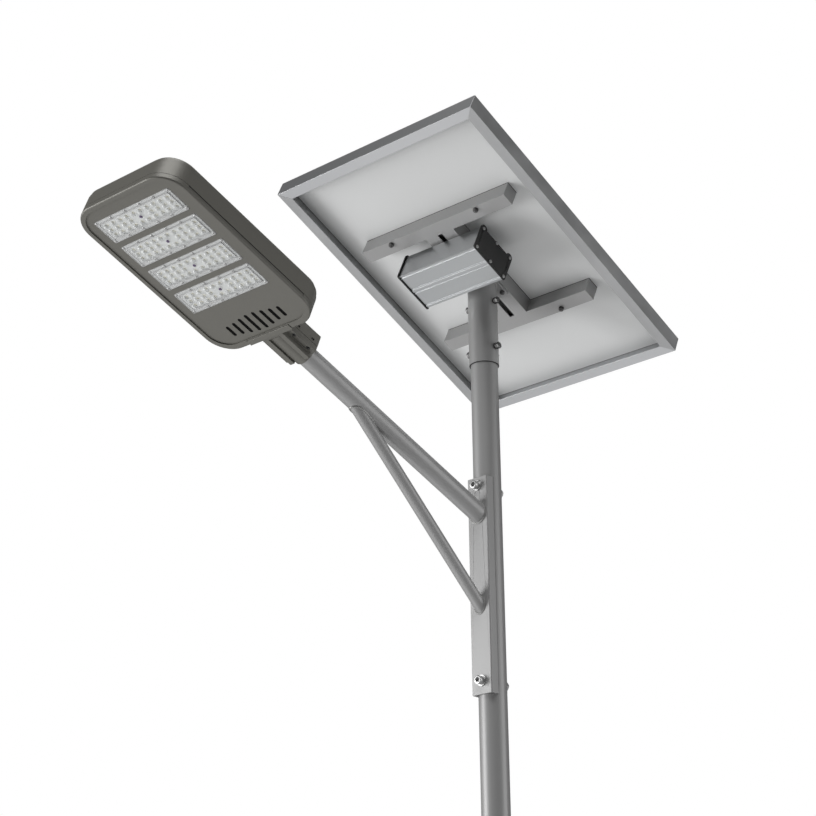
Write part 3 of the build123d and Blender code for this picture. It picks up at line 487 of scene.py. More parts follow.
def shade_gauze_group():
    """Woven wire: fine crossing lines; used near-black as painted shade inside the vents."""
    tree, start, end = new_group("woven_wire_painted_shade", [("Colour", COLOUR, (0.02, 0.02, 0.02, 1))], SURFACE)
    place = node(tree, "ShaderNodeTexCoord").outputs["Object"]
    parts = node(tree, "ShaderNodeSeparateXYZ", [(0, place)])
    across = maths(tree, "PINGPONG", parts.outputs["X"], 0.35 * MM)
    along = maths(tree, "PINGPONG", parts.outputs["Y"], 0.35 * MM)
    wires = maths(tree, "MULTIPLY", maths(tree, "MAXIMUM", across, along), 1 / (0.35 * MM))
    colour = tint(tree, start.outputs["Colour"], wires)
    return put_out(tree, end, colour, spread(tree, wires, 0.5, 0.8), wires)


def material(name, group, colour, bump, group_values=(), **constants):
    """A Principled material fed by a surface group, with a bump of that depth in metres."""
    made = bpy.data.materials.new(name)
    made.use_nodes = True
    tree = made.node_tree
    shader = tree.nodes["Principled BSDF"]
    surface = node(tree, "ShaderNodeGroup", node_tree=group)
    surface.inputs["Colour"].default_value = colour
    for label, value in group_values:
        surface.inputs[label].default_value = value
    relief = node(tree, "ShaderNodeBump", [("Height", surface.outputs["Height"]), ("Distance", bump)])
    tree.links.new(surface.outputs["Colour"], shader.inputs["Base Color"])
    tree.links.new(surface.outputs["Roughness"], shader.inputs["Roughness"])
    tree.links.new(relief.outputs["Normal"], shader.inputs["Normal"])
    for label, value in constants.items():
        shader.inputs[label.replace("_", " ")].default_value = value
    return made


def make_materials(look):
    """One material for each slot of the record, and the few that the fine parts add.

    The loaded CAD model already has plain materials under the slots' names, so Blender numbers the ones made
    here under those names. A lookup by a slot's name finds the plain one, and only other names find these.
    """
    coat, casting, drawn, zinc = coat_group(), casting_group(), drawn_group(), zinc_group()
    moulded, board = moulded_group(), board_group()
    steel, cast = tuple(look.paint), tuple(look.head)
    wear = ("Wear", look.wear)
    across_lines = ("Lines", (6, 900, 900))
    material("grey_paint", coat, steel, 0.00012, [wear], Metallic=0.25)
    material("weld_metal", coat, tuple(0.85 * c for c in steel[:3]) + (1,), 0.0002, [wear], Metallic=0.3)
    material("lamp_paint", casting, cast, 0.00006, [wear])
    material("black_paint", casting, (0.02, 0.02, 0.02, 1), 0.00008, [wear])
    material("zinc_steel", zinc, (0.34, 0.34, 0.33, 1), 0.00002, Metallic=1)
    material("dark_steel", zinc, (0.12, 0.12, 0.12, 1), 0.00002, Metallic=0.9)
    material("frame_aluminium", drawn, (0.44, 0.445, 0.45, 1), 0.00001, [across_lines], Metallic=0.75)
    material("frame_aluminium_long", drawn, (0.44, 0.445, 0.45, 1), 0.00001, [("Lines", (900, 14, 14))],
             Metallic=0.75)
    material("case_aluminium", drawn, (0.4, 0.41, 0.42, 1), 0.00002, [across_lines], Metallic=0.85)
    material("white_film", film_painted_shade_group(), tuple(look.film), 0.00025)
    material("silicon", cells_group(), tuple(look.cells), 0.00002, Metallic=0.2, Coat_Weight=0.6)
    material("board_white", board, (0.5, 0.5, 0.49, 1), 0.00002)
    material("phosphor", board, (0.8, 0.62, 0.1, 1), 0.00002)
    material("black_plastic", moulded, (0.03, 0.03, 0.03, 1), 0.00002)
    material("seal_rubber", moulded, (0.035, 0.035, 0.035, 1), 0.00002)
    # near-black and almost unreflecting: painted shade of the vents' inside, with a woven pattern
    material("shade_gauze", shade_gauze_group(), (0.006, 0.006, 0.006, 1), 0.0001, Specular_IOR_Level=0.05)
    material("purple_plug", moulded, (0.11, 0.08, 0.15, 1), 0.00002)
    material("white_plastic", moulded, (0.5, 0.5, 0.5, 1), 0.00002)
    material("silicone", moulded, (0.2, 0.2, 0.2, 1), 0.00002)
    material("cell_wrap", drawn, (0.05, 0.18, 0.3, 1), 0.00001, [across_lines])
    material("clear_lens", moulded, (0.8, 0.81, 0.8, 1), 0.00001, Alpha=0.12, Specular_IOR_Level=0.7)
    material("solar_glass", moulded, (0.6, 0.68, 0.72, 1), 0.000004, Alpha=0.16, Coat_Weight=1.0)


FINISH_OF = {
    "grey_paint": "base_flange base_gussets pole_tube arm_bracket arm_tube strut_tube mast_sleeve head_plate "
                  "panel_bracket",
    "zinc_steel": "housing_screws case_spacers battery_case_bolts",
    "dark_steel": "saddle_bolts saddle_nuts",
    "frame_aluminium": "frame_front frame_rear corner_keys",
    "frame_aluminium_long": "frame_left frame_right",
    "case_aluminium": "battery_case_upper battery_case_lower",
    "black_paint": "battery_end_left battery_end_right led_driver",
    "lamp_paint": "lamp_faceplate lamp_housing tube_saddle",
    "clear_lens": "led_lens_1 led_lens_2 led_lens_3 led_lens_4",
    "solar_glass": "panel_glass",
    "silicon": "solar_cells",
    "white_film": "panel_backsheet",
    "board_white": "led_board_1 led_board_2 led_board_3 led_board_4",
    "black_plastic": "junction_box battery_gland cell_holders charge_controller terminal_block",
    "seal_rubber": "housing_seal module_seals bracket_pads lead_grommet",
    "cell_wrap": "battery_cells",
}


# ---------------------------------------------------------------- mesh helpers
def hexagon(flats):
    """The radius of a hexagon of that width across flats, at an angle."""
    return lambda angle: flats / 2 / math.cos(angle % (math.pi / 3) - math.pi / 6)


def square(side):
    return lambda angle: side / 2 / max(abs(math.cos(angle)), abs(math.sin(angle)))


def cross(length, width):
    """The radius of a cross recess, at an angle."""
    def radius(angle):
        folded = (angle + math.pi / 4) % (math.pi / 2) - math.pi / 4
        along, beside = math.cos(folded), abs(math.sin(folded))
        return length / along if beside * length < width * along else width / beside
    return radius


def at(angle, shape):
    return shape(angle) if callable(shape) else shape


def loft(mesh, place, sections, segments=24, index=0, close=False):
    """Skins rings of (radius, height) round place's z axis; each is a number or a function of the angle."""
    rings = []
    for radius, height in sections:
        angles = [2 * math.pi * step / segments for step in range(segments)]
        rings.append([mesh.verts.new(place @ (MM * Vector((
            at(a, radius) * math.cos(a), at(a, radius) * math.sin(a), at(a, height))))) for a in angles])
    pairs = list(zip(rings, rings[1:])) + ([(rings[-1], rings[0])] if close else [])
    for lower, upper in pairs:
        for step in range(segments):
            after = (step + 1) % segments
            mesh.faces.new((lower[step], lower[after], upper[after], upper[step])).material_index = index


def hex_body(mesh, place, flats, height, bore=0):
    """A nut, or without a bore a bolt head, whose corners are chamfered on both faces."""
    side, flat = hexagon(flats), flats / 2 * 0.97
    low = lambda angle: (side(angle) - flat) * 0.58
    high = lambda angle: height - low(angle)
    sections = [(flat, 0), (side, low), (side, high), (flat, height)]
    if bore:
        loft(mesh, place, sections + [(bore + 0.5, height), (bore, height - 0.5), (bore, 0)], 48, close=True)
    else:
        loft(mesh, place, [(0, 0)] + sections + [(0, height)], 48)


def thread(mesh, place, radius, start, end, pitch):
    """A threaded rod end from start to end along z of place, with a chamfered tip at its end."""
    segments, depth = 20, 0.55 * pitch
    turns = max(1, int((end - start) / pitch - 1))
    count = turns * segments
    lines = []
    for reach, lift in ((radius, 0), (radius - depth, 0.5)):
        points = [(2 * math.pi * i / segments, start + pitch * (i / segments + lift))
                  for i in range(count + 1)]
        lines.append([mesh.verts.new(place @ (MM * Vector((reach * math.cos(a), reach * math.sin(a), z))))
                      for a, z in points])
    crest, root = lines
    for i in range(count):
        mesh.faces.new((crest[i], crest[i + 1], root[i + 1], root[i]))
        if i + segments < count:
            mesh.faces.new((root[i], root[i + 1], crest[i + 1 + segments], crest[i + segments]))
    core = radius - depth
    rings = [(0, start), (core, start), (core, end - pitch / 2), (core - pitch / 2, end), (0, end)]
    loft(mesh, place, rings, segments)


def ribbon(mesh, points, radius, closed=False, ripple=0.0, sides=8):
    """A round bead along points in metres; with a ripple length it swells and thins like a weld."""
    count = len(points)
    rings = []
    travelled = 0.0
    for i, point in enumerate(points):
        before = points[i - 1] if closed or i else point
        after = points[(i + 1) % count] if closed or i < count - 1 else point
        travelled += (point - points[i - 1]).length if i else 0
        ahead = (after - before).normalized()
        turn = ahead.to_track_quat("Z", "X").to_matrix()
        swell = 1 + (0.16 * abs(math.sin(math.pi * travelled / ripple)) - 0.08 if ripple else 0)
        rings.append([mesh.verts.new(point + turn @ Vector((
            math.cos(a) * radius * swell, math.sin(a) * radius * swell, 0)))
            for a in (2 * math.pi * s / sides for s in range(sides))])
    for i in range(count if closed else count - 1):
        lower, upper = rings[i], rings[(i + 1) % count]
        shift = nearest_start(lower, upper)
        for step in range(sides):
            after = (step + 1) % sides
            over, over_after = upper[(step + shift) % sides], upper[(after + shift) % sides]
            mesh.faces.new((lower[step], lower[after], over_after, over))
    if not closed:
        for ring in (rings[0], rings[-1]):
            mesh.faces.new(ring)


def nearest_start(lower, upper):
    """How far the next ring is turned against this one, so that the skin between them isn't twisted."""
    sides = len(lower)
    return min(range(sides), key=lambda s: (upper[s].co - lower[0].co).length)


def finish_piece(mesh, name, body, slot, materials, replaces=()):
    """Turns a built mesh into a piece that rides on a body and stands for some CAD nodes."""
    bmesh.ops.remove_doubles(mesh, verts=mesh.verts, dist=1e-7)
    bmesh.ops.recalc_face_normals(mesh, faces=mesh.faces)
    data = bpy.data.meshes.new(name)
    mesh.to_mesh(data)
    mesh.free()
    if not data.polygons:
        raise RuntimeError(f"{name} has no faces")
    for wanted in materials:
        data.materials.append(bpy.data.materials[wanted])
    data.shade_smooth()
    data.set_sharp_from_angle(angle=math.radians(32))
    piece = bpy.data.objects.new(name, data)
    bpy.context.scene.collection.objects.link(piece)
    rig.ride(piece, body)
    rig.slot(piece, slot)
    if replaces:
        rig.replaces(piece, *replaces)


# ---------------------------------------------------------------- fasteners
def washer(mesh, place, outer, bore, thickness):
    loft(mesh, place, [(bore, 0), (outer - 0.3, 0), (outer, 0.3), (outer, thickness - 0.3),
                       (outer - 0.3, thickness), (bore, thickness)], 36, close=True)


def socket_head(mesh, place, radius, height, flats, depth):
    """A cylinder head with a rounded rim and a hexagon socket."""
    socket = hexagon(flats)
    loft(mesh, place, [(0, 0), (radius, 0), (radius, height - 1), (radius - 0.3, height - 0.3),
                       (radius - 1, height), (hexagon(flats + 0.8), height), (socket, height - 0.4),
                       (socket, height - depth), (0, height - depth - 1)], 48)


def pan_head(mesh, place, radius, height):
    """A low domed head with a cross recess."""
    slot = cross(radius * 0.62, radius * 0.17)
    slot_foot = cross(radius * 0.5, radius * 0.12)
    loft(mesh, place, [(0, 0), (radius, 0), (radius, height * 0.4), (radius * 0.92, height * 0.75),
                       (radius * 0.72, height), (slot, height), (slot_foot, height * 0.3),
                       (0, height * 0.2)], 48)


def build_bracket_bolts():
    """The two bolts through the bracket and the pole, with their washers and nuts."""
    bolts, washers, nuts = bmesh.new(), bmesh.new(), bmesh.new()
    for z in BRACKET_BOLT_Z:
        front = stand((0, FACE_Y - WASHER_T, z), (0, -1, 0))
        back = stand((0, 0, z), (0, 1, 0))
        socket_head(bolts, front, 9, 12, 10, 6)
        loft(bolts, back, [(0, FACE_Y - WASHER_T), (5.9, FACE_Y - WASHER_T), (5.9, 20), (0, 20)])
        thread(bolts, back, 6, 20, 48, 1.75)
        washer(washers, front @ Matrix.Translation((0, 0, -WASHER_T * MM)), 12, 6.3, WASHER_T)
        washer(washers, stand((0, POLE_R, z), (0, 1, 0)), 12, 6.3, WASHER_T)
        hex_body(nuts, stand((0, POLE_R + WASHER_T, z), (0, 1, 0)), 18, 10, 6)
    finish_piece(bolts, "bracket_bolts_full", "pole", "zinc_steel", ["zinc_steel"], ["bracket_bolts"])
    finish_piece(washers, "bracket_washers_full", "pole", "zinc_steel", ["zinc_steel"], ["bracket_washers"])
    finish_piece(nuts, "bracket_nuts_full", "pole", "zinc_steel", ["zinc_steel"], ["bracket_nuts"])


def build_set_bolts():
    """The six set bolts of the sleeve and the nuts welded under them."""
    bolts, nuts = bmesh.new(), bmesh.new()
    for z in SET_BOLT_Z:
        for direction in SET_BOLT_DIRECTIONS:
            out = stand((0, 0, z), direction)
            loft(bolts, out, [(0, POLE_R + 0.2), (3.2, POLE_R + 0.2), (3.6, POLE_R + 1),
                             (3.6, SET_HEAD_R + 1), (0, SET_HEAD_R + 1)])
            hex_body(bolts, out @ Matrix.Translation((0, 0, SET_HEAD_R * MM)), 13, 5.3)
            hex_body(nuts, out @ Matrix.Translation((0, 0, SLEEVE_R * MM)), 13, 6.5, 3.9)
    finish_piece(bolts, "set_bolts_full", "mast_head", "zinc_steel", ["dark_steel"], ["set_bolts"])
    finish_piece(nuts, "sleeve_nuts_full", "mast_head", "zinc_steel", ["dark_steel"], ["sleeve_nuts"])


def build_head_bolts():
    """The four bolts that hold the panel bracket on the head plate."""
    bolts, nuts = bmesh.new(), bmesh.new()
    for x, y in HEAD_BOLTS:
        down = PANEL @ stand((x, y, 0), (0, 0, -1))
        hex_body(bolts, PANEL @ stand((x, y, RAIL_FACE + 2.5), (0, 0, 1)), 10, 4)
        loft(bolts, down, [(0, -RAIL_FACE - 2.5), (2.9, -RAIL_FACE - 2.5), (2.9, 17), (0, 17)])
        thread(bolts, down, 3, 17, 21, 1)
        hex_body(nuts, PANEL @ stand((x, y, RAIL_FACE - HEAD_PLATE_T), (0, 0, -1)), 10, 5, 3)
    finish_piece(bolts, "head_plate_bolts_full", "mast_head", "zinc_steel", ["dark_steel"],
                 ["head_plate_bolts"])
    finish_piece(nuts, "head_plate_nuts_full", "mast_head", "zinc_steel", ["dark_steel"], ["head_plate_nuts"])


def build_rail_studs():
    """The studs bonded to the laminate, with the nuts and washers under the rails."""
    studs, nuts = bmesh.new(), bmesh.new()
    for x, y in RAIL_STUDS:
        down = PANEL @ stand((x, y, 0), (0, 0, -1))
        loft(studs, down, [(0, -LAMINATE_Z), (5, -LAMINATE_Z), (5, 2 - LAMINATE_Z), (2.6, 2 - LAMINATE_Z),
                           (2.6, 11), (0, 11)])
        thread(studs, down, 2.95, 11, 17, 1)
        washer(nuts, down @ Matrix.Translation((0, 0, -RAIL_FACE * MM)), 6, 3.2, 1.6)
        hex_body(nuts, down @ Matrix.Translation((0, 0, (1.6 - RAIL_FACE) * MM)), 10, 5, 2.9)
    finish_piece(studs, "rail_studs_full", "mast_head", "zinc_steel", ["dark_steel"], ["rail_studs"])
    finish_piece(nuts, "rail_nuts_full", "mast_head", "zinc_steel", ["dark_steel"], ["rail_nuts"])


def build_case_screws():
    """The twelve screws of the battery box's end plates."""
    screws = bmesh.new()
    for side in (-1, 1):
        for s, t in PORTS:
            place = PANEL @ stand((side * CASE_END, CASE_Y + s, CASE_MID + t), (side, 0, 0))
            pan_head(screws, place, 3.8, 2.4)
            loft(screws, place, [(0, -17), (1.6, -17), (1.6, 0), (0, 0)], 12)
    finish_piece(screws, "end_plate_screws_full", "mast_head", "zinc_steel", ["zinc_steel"],
                 ["end_plate_screws"])


# ---------------------------------------------------------------- LED modules
def led_places(y):
    """Places of a module's 28 LEDs: three rows round y, the middle one without its centre pair."""
    return [((column - 4.5) * LED_PITCH, y + row * LED_ROW) for row in (-1, 0, 1) for column in range(10)
            if row or column not in (4, 5)]


def rib_ring(mesh, place, outer_w, outer_l, width, low, high):
    """A low rectangular rib round a module, its walls drawn in a little towards the top."""
    levels = [(0, low), (0.15, high + 0.15), (0.4, high), (width - 0.4, high), (width - 0.15, high + 0.15),
              (width, low)]
    loops = []
    for inset, z in levels:
        half_w, half_l = outer_w / 2 - inset, outer_l / 2 - inset
        round_r = max(0.8, 3 - inset)
        loops.append([mesh.verts.new(place @ (MM * Vector((x, y, z))))
                      for x, y in rounded_corners(half_w, half_l, round_r)])
    count = len(loops[0])
    for lower, upper in zip(loops, loops[1:]):
        for i in range(count):
            j = (i + 1) % count
            mesh.faces.new((lower[i], lower[j], upper[j], upper[i]))


def rounded_corners(half_w, half_l, radius):
    """The outline of a rounded rectangle, six points to each corner."""
    points = []
    for corner, (sx, sy) in enumerate(((1, 1), (-1, 1), (-1, -1), (1, -1))):
        for step in range(6):
            angle = math.pi / 2 * (corner + step / 5)
            points.append((sx * (half_w - radius) + radius * math.cos(angle),
                           sy * (half_l - radius) + radius * math.sin(angle)))
    return points


def build_modules():
    """The LED packages, screws, ribs and centre plug of each module."""
    packages, screws, ribs, plugs = bmesh.new(), bmesh.new(), bmesh.new(), bmesh.new()
    for y in MODULES:
        for x, v in led_places(y):
            down = LAMP @ stand((x, v, 0), (0, 0, -1))
            loft(packages, down, [(0, -LED_BACK), (square(5), -LED_BACK), (square(5), -5.05),
                                  (square(4.98), -5), (square(4.8), -5), (square(4.8), -5.02)])
            loft(packages, down, [(square(6.6), -5.02), (square(6.2), -LED_FACE), (0, -LED_FACE)], index=1)
        for sx, sy in MODULE_SCREWS:
            place = LAMP @ stand((sx, y + sy, LENS_FACE), (0, 0, -1))
            pan_head(screws, place, 2.8, 1.4)
            loft(screws, place, [(0, -8.8), (1.4, -8.8), (1.4, 0), (0, 0)], 12)
        rib_ring(ribs, LAMP @ Matrix.Translation((0, y * MM, 0)), 194, 45.2, 1.6, LENS_FACE, 0.4)
        rib_ring(ribs, LAMP @ Matrix.Translation((0, y * MM, 0)), 207.6, 59.2, 1.2, LENS_FACE, 1.6)
        centre = LAMP @ stand((0, y, 0), (0, 0, -1))
        loft(plugs, centre, [(0, -3), (3.4, -3), (3.4, -0.8), (2.8, -0.2), (1.4, 0), (1.1, -0.3),
                             (0, -0.4)], 32)
    finish_piece(packages, "led_packages", "lamp_head", "phosphor", ["white_plastic", "phosphor"],
                 ["led_chips"])
    finish_piece(screws, "module_screws_full", "lamp_head", "zinc_steel", ["zinc_steel"], ["module_screws"])
    finish_piece(ribs, "module_ribs", "lamp_head", "clear_lens", ["white_plastic"])
    finish_piece(plugs, "module_plugs", "lamp_head", "black_plastic", ["purple_plug"])


def build_vent_mesh():
    """Near-black gauze set in the faceplate's vents, just behind its face, as painted shade of the vents' inside."""
    shade_gauze = bmesh.new()
    for step, length in enumerate(VENT_LENGTHS):
        for side in (-1, 1):
            centre = LAMP @ Matrix.Translation(MM * Vector((side * (10 + 20 * step), VENT_Y, VENT_FACE)))
            outline = rounded_corners(VENT_W / 2, length / 2, VENT_W / 2)
            rings = [[shade_gauze.verts.new(centre @ (MM * Vector((x, y, z)))) for x, y in outline]
                     for z in (0, GAUZE_T)]
            count = len(outline)
            for i in range(count):
                j = (i + 1) % count
                shade_gauze.faces.new((rings[0][i], rings[0][j], rings[1][j], rings[1][i]))
            for ring in rings:
                shade_gauze.faces.new(ring)
    # the vent sheet is painted shade of the vents' inside
    finish_piece(shade_gauze, "vent_shade_gauze", "lamp_head", "black_plastic", ["shade_gauze"])


# ---------------------------------------------------------------- weld beads
def tube_on_wall(root, axis, radius, wall_y, count):
    """Points where a tube's skin meets the plane y = wall_y."""
    side = Vector((1, 0, 0))
    up = axis.cross(side)
    points = []
    for step in range(count):
        angle = 2 * math.pi * step / count
        start = root + side * radius * math.cos(angle) + up * radius * math.sin(angle)
        points.append((start + axis * (wall_y - start.y) / axis.y) * MM)
    return points


def tube_on_tube(root, axis, radius, other_root, other_axis, other_radius, count):
    """Points where a tube's skin first meets another tube."""
    side = Vector((1, 0, 0))
    up = axis.cross(side)
    points = []
    for step in range(count):
        angle = 2 * math.pi * step / count
        start = root + side * radius * math.cos(angle) + up * radius * math.sin(angle)
        gap = start - other_root
        gap -= other_axis * gap.dot(other_axis)
        slope = axis - other_axis * axis.dot(other_axis)
        a, b, c = slope.dot(slope), gap.dot(slope), gap.dot(gap) - other_radius ** 2
        points.append((start + axis * (-b - math.sqrt(b * b - a * c)) / a) * MM)
    return points


def line_points(start, end, count):
    """Points in metres, evenly along a straight line given in millimetres."""
    return [Vector(start).lerp(Vector(end), i / (count - 1)) * MM for i in range(count)]


def build_welds(parts):
    """The beads on the arm, the strut, the base flange, the gussets and the sleeve."""
    arm_meets = Vector((0, STRUT_MEETS_Y, ARM_ROOT_Z - (STRUT_MEETS_Y - FACE_Y) * math.tan(ARM_TILT)))
    strut_root = Vector((0, FACE_Y, STRUT_ROOT_Z))
    strut_dir = (arm_meets - strut_root).normalized()
    bead, ripple = parts.weld, parts.ripple
    welds = bmesh.new()
    ribbon(welds, tube_on_wall(ARM_ROOT, ARM_DIR, ARM_R, FACE_Y, 220), bead, True, ripple)
    ribbon(welds, tube_on_wall(strut_root, strut_dir, STRUT_R, FACE_Y, 160), bead * 0.8, True, ripple)
    strut_end = tube_on_tube(strut_root, strut_dir, STRUT_R, ARM_ROOT, ARM_DIR, ARM_R, 160)
    ribbon(welds, strut_end, bead * 0.8, True, ripple)
    ring = [Vector((math.cos(a), math.sin(a), FLANGE_T / POLE_R)) * POLE_R * MM
            for a in (2 * math.pi * i / 260 for i in range(260))]
    ribbon(welds, ring, bead * 1.3, True, ripple)
    for quarter in range(4):
        turn = Matrix.Rotation(math.pi / 2 * quarter, 3, "Z")
        for side in (-GUSSET_HALF_T, GUSSET_HALF_T):
            corner = (POLE_R, side, FLANGE_T)
            upright = line_points(corner, (POLE_R, side, FLANGE_T + GUSSET_H), 160)
            foot = line_points(corner, (GUSSET_REACH, side, FLANGE_T), 90)
            ribbon(welds, [turn @ p for p in upright], bead, False, ripple)
            ribbon(welds, [turn @ p for p in foot], bead, False, ripple)
    finish_piece(welds, "steel_welds", "pole", "grey_paint", ["weld_metal"])

    under = RAIL_FACE - HEAD_PLATE_T
    ring = []
    for i in range(240):
        angle = 2 * math.pi * i / 240
        foot = Vector((SLEEVE_R * math.cos(angle), SLEEVE_R * math.sin(angle), 0))
        lift = (under - (foot - Vector((0, PANEL_Y, PANEL_Z))).dot(PANEL_UP)) / PANEL_UP.z
        ring.append((foot + Vector((0, 0, lift))) * MM)
    mast = bmesh.new()
    ribbon(mast, ring, bead, True, ripple)
    finish_piece(mast, "mast_welds", "mast_head", "grey_paint", ["weld_metal"])


# ---------------------------------------------------------------- seals
def frame_loop(inset, z):
    """Points round the panel, that far in from its edge, in the model's frame and in metres."""
    half_w, half_l = PANEL_W / 2 - inset, PANEL_L / 2 - inset
    return [PANEL @ (MM * Vector((x, y, z))) for x, y in rounded_corners(half_w, half_l, 1.2)]


def build_seals():
    """The silicone round both faces of the laminate, and the rubber ring under the sleeve."""
    seals = bmesh.new()
    ribbon(seals, frame_loop(8, GLASS_TOP), 0.9 * MM, True)
    ribbon(seals, frame_loop(12, LAMINATE_Z), 0.9 * MM, True)
    finish_piece(seals, "laminate_seals", "mast_head", "seal_rubber", ["silicone"])

    wiper = bmesh.new()
    ribbon(wiper, [Vector((math.cos(a) * WIPER_R, math.sin(a) * WIPER_R, SLEEVE_BOTTOM - 0.5)) * MM
                   for a in (2 * math.pi * i / 96 for i in range(96))], 1.3 * MM, True)
    finish_piece(wiper, "sleeve_wiper", "mast_head", "seal_rubber", ["seal_rubber"])


# ---------------------------------------------------------------- rounded edges
EDGE_SCALE = {
    "base_flange": 1.0, "base_gussets": 0.8, "arm_bracket": 1.2, "head_plate": 1.0,
    "frame_front": 0.6, "frame_rear": 0.6, "frame_left": 0.6, "frame_right": 0.6,
    "battery_case_upper": 0.6, "battery_case_lower": 0.5, "battery_end_left": 1.0, "battery_end_right": 1.0,
    "tube_saddle": 1.2, "junction_box": 0.8,
}


def round_edges(name, width):
    """Rounds a CAD piece's sharp edges with modifiers only; its own mesh stays as it is."""
    piece = NODES[name]
    if "custom_normal" in piece.data.attributes:
        piece.data.attributes.remove(piece.data.attributes["custom_normal"])
    piece.data.shade_smooth()
    joined = piece.modifiers.new("joined", "WELD")
    joined.merge_threshold = 1e-6
    rounded = piece.modifiers.new("rounded", "BEVEL")
    rounded.limit_method = "ANGLE"
    rounded.angle_limit = math.radians(40)
    rounded.width = width
    rounded.segments = 2
    rounded.use_clamp_overlap = False
    weighted = piece.modifiers.new("weighted", "WEIGHTED_NORMAL")
    weighted.keep_sharp = True


# ---------------------------------------------------------------- stage
def camera_matrix(studio):
    """Where the camera stands and how it is turned, as one matrix."""
    a, e, r = studio.azimuth, studio.elevation, studio.roll
    ahead = Vector((-math.sin(a) * math.cos(e), math.cos(a) * math.cos(e), math.sin(e)))
    right = Vector((math.cos(a), math.sin(a), 0))
    up = right.cross(ahead)
    leaning_right = right * math.cos(r) + up * math.sin(r)
    leaning_up = up * math.cos(r) - right * math.sin(r)
    turn = Matrix((leaning_right, leaning_up, -ahead)).transposed().to_4x4()
    return Matrix.Translation(Vector(studio.place)) @ turn


def area_light(name, place, target, size, power):
    """A rectangular light at a place, aimed at a target, that the camera doesn't see."""
    light = bpy.data.lights.new(name, "AREA")
    light.shape = "RECTANGLE"
    light.size, light.size_y = size
    light.energy = power
    holder = bpy.data.objects.new(name, light)
    bpy.context.scene.collection.objects.link(holder)
    aim = (Vector(target) - Vector(place)).to_track_quat("-Z", "Y").to_matrix().to_4x4()
    holder.matrix_world = Matrix.Translation(place) @ aim
    holder.visible_camera = False


def build_stage(studio):
    """The camera, a backdrop that is white to the camera and dim to the model, four lights and the floor."""
    scene = bpy.context.scene
    camera = bpy.data.objects.new("camera", bpy.data.cameras.new("camera"))
    scene.collection.objects.link(camera)
    camera.matrix_world = camera_matrix(studio)
    camera.data.sensor_width = 36
    camera.data.lens = studio.lens
    camera.data.clip_end = 100
    scene.camera = camera
    scene.view_settings.view_transform = "Standard"

    world = bpy.data.worlds.new("studio")
    scene.world = world
    world.use_nodes = True
    tree = world.node_tree
    background = tree.nodes["Background"]
    background.inputs["Color"].default_value = (1, 1, 1, 1)
    path = node(tree, "ShaderNodeLightPath")
    seen = path.outputs["Is Camera Ray"]
    strength = node(tree, "ShaderNodeMapRange", [("Value", seen), ("To Min", studio.ambient)])
    tree.links.new(strength.outputs[0], background.inputs["Strength"])

    area_light("key_light", (-3.7, -3.7, 2.5), (0, -0.3, 3.2), (2.4, 3.4), studio.key)
    area_light("under_light", (-0.8, 0.0, 0.35), (0, -0.3, 3.4), (3.6, 3.6), studio.under)
    area_light("top_light", (1.0, -1.8, 6.5), (0, -0.2, 2.4), (3, 3), studio.top)
    area_light("rim_light", (4.0, 2.3, 2.7), (0, -0.2, 2.8), (2, 3.4), studio.rim)

    floor = bmesh.new()
    bmesh.ops.create_grid(floor, x_segments=2, y_segments=2, size=12)
    data = bpy.data.meshes.new("floor")
    floor.to_mesh(data)
    floor.free()
    paper = material("floor_paper", moulded_group(), (0.8, 0.8, 0.8, 1), 0.000001,
                     Emission_Color=(1, 1, 1, 1), Emission_Strength=0.1)
    data.materials.append(paper)
    ground = bpy.data.objects.new("floor", data)
    scene.collection.objects.link(ground)
    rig.stage(ground)


# ---------------------------------------------------------------- operators
class LAMP_OT_finishes(bpy.types.Operator):
    """Makes the materials and puts one on each CAD piece in the finish table"""

    bl_idname = "lamp.finishes"
    bl_label = "Finishes"

    def execute(self, context):
        make_materials(context.scene.lamp_finishes)
        for finish, names in FINISH_OF.items():
            for name in names.split():
                piece = NODES[name]
                piece.data.materials.clear()
                piece.data.materials.append(bpy.data.materials[finish])
        return {"FINISHED"}


class LAMP_OT_edges(bpy.types.Operator):
    """Rounds the sharp edges of the folded, cut and cast CAD pieces"""

    bl_idname = "lamp.edges"
    bl_label = "Rounded edges"

    def execute(self, context):
        for name, scale in EDGE_SCALE.items():
            round_edges(name, context.scene.lamp_parts.edge * scale)
        return {"FINISHED"}


class LAMP_OT_pole_fasteners(bpy.types.Operator):
    """Builds the bolts, washers and nuts that hold the arm bracket on the pole"""

    bl_idname = "lamp.pole_fasteners"
    bl_label = "Bracket bolts"

    def execute(self, context):
        build_bracket_bolts()
        return {"FINISHED"}


class LAMP_OT_mast_fasteners(bpy.types.Operator):
    """Builds the fasteners of the sleeve, the head plate, the rails and the battery box"""

    bl_idname = "lamp.mast_fasteners"
    bl_label = "Mast fasteners"

    def execute(self, context):
        build_set_bolts()
        build_head_bolts()
        build_rail_studs()
        build_case_screws()
        return {"FINISHED"}


class LAMP_OT_modules(bpy.types.Operator):
    """Builds the LED packages, screws, ribs and centre plugs of the four modules"""

    bl_idname = "lamp.modules"
    bl_label = "LED modules"

    def execute(self, context):
        build_modules()
        build_vent_mesh()
        return {"FINISHED"}


class LAMP_OT_welds(bpy.types.Operator):
    """Builds the weld beads on the steel work"""

    bl_idname = "lamp.welds"
    bl_label = "Weld beads"

    def execute(self, context):
        build_welds(context.scene.lamp_parts)
        return {"FINISHED"}


class LAMP_OT_seals(bpy.types.Operator):
    """Builds the silicone beads round the laminate and the rubber ring under the sleeve"""

    bl_idname = "lamp.seals"
    bl_label = "Seals"

    def execute(self, context):
        build_seals()
        return {"FINISHED"}


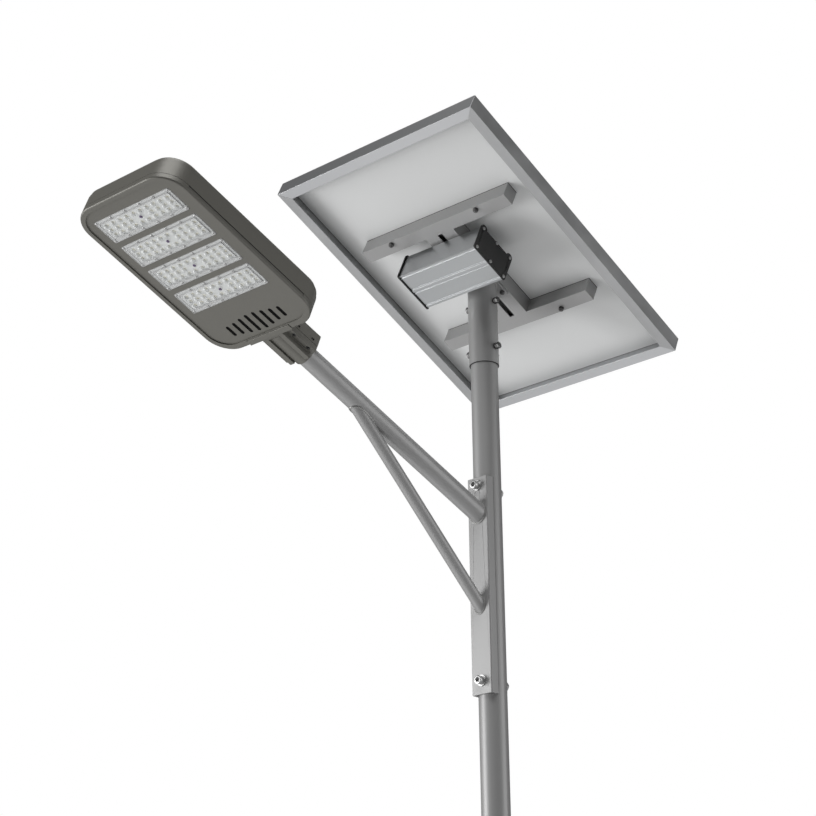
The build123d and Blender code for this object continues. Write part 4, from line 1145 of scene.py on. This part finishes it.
class LAMP_OT_stage(bpy.types.Operator):
    """Sets up the floor, the lights, the backdrop and the camera"""

    bl_idname = "lamp.stage"
    bl_label = "Stage"

    def execute(self, context):
        build_stage(context.scene.lamp_studio)
        return {"FINISHED"}


OPERATORS = (LAMP_OT_finishes, LAMP_OT_edges, LAMP_OT_pole_fasteners, LAMP_OT_mast_fasteners, LAMP_OT_modules,
             LAMP_OT_welds, LAMP_OT_seals, LAMP_OT_stage)


class LAMP_PT_panel(bpy.types.Panel):
    """Lists the steps that build the looks of the lamp"""

    bl_idname = "LAMP_PT_panel"
    bl_label = "Solar street lamp"
    bl_space_type = "VIEW_3D"
    bl_region_type = "UI"
    bl_category = "Street lamp"

    def draw(self, context):
        for operator in OPERATORS:
            self.layout.operator(operator.bl_idname)
        for settings in (context.scene.lamp_finishes, context.scene.lamp_parts, context.scene.lamp_studio):
            box = self.layout.box()
            for name in settings.__annotations__:
                box.prop(settings, name)


CLASSES = (LampFinishes, FineParts, Studio) + OPERATORS + (LAMP_PT_panel,)


def register():
    for item in CLASSES:
        bpy.utils.register_class(item)
    bpy.types.Scene.lamp_finishes = bpy.props.PointerProperty(type=LampFinishes)
    bpy.types.Scene.lamp_parts = bpy.props.PointerProperty(type=FineParts)
    bpy.types.Scene.lamp_studio = bpy.props.PointerProperty(type=Studio)


def unregister():
    del bpy.types.Scene.lamp_studio
    del bpy.types.Scene.lamp_parts
    del bpy.types.Scene.lamp_finishes
    for item in reversed(CLASSES):
        bpy.utils.unregister_class(item)


def plain(box):
    """A pair of corners as plain lists."""
    return [[float(value) for value in corner] for corner in box]


def main():
    register()
    bpy.ops.lamp.finishes()
    bpy.ops.lamp.edges()
    bpy.ops.lamp.pole_fasteners()
    bpy.ops.lamp.mast_fasteners()
    bpy.ops.lamp.modules()
    bpy.ops.lamp.welds()
    bpy.ops.lamp.seals()
    bpy.ops.lamp.stage()
    with open("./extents.json", "w") as out:
        json.dump({"cad": plain(CAD_BOX), "visual": plain(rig.bounds())}, out, indent=1)


if __name__ == "__main__":
    main()
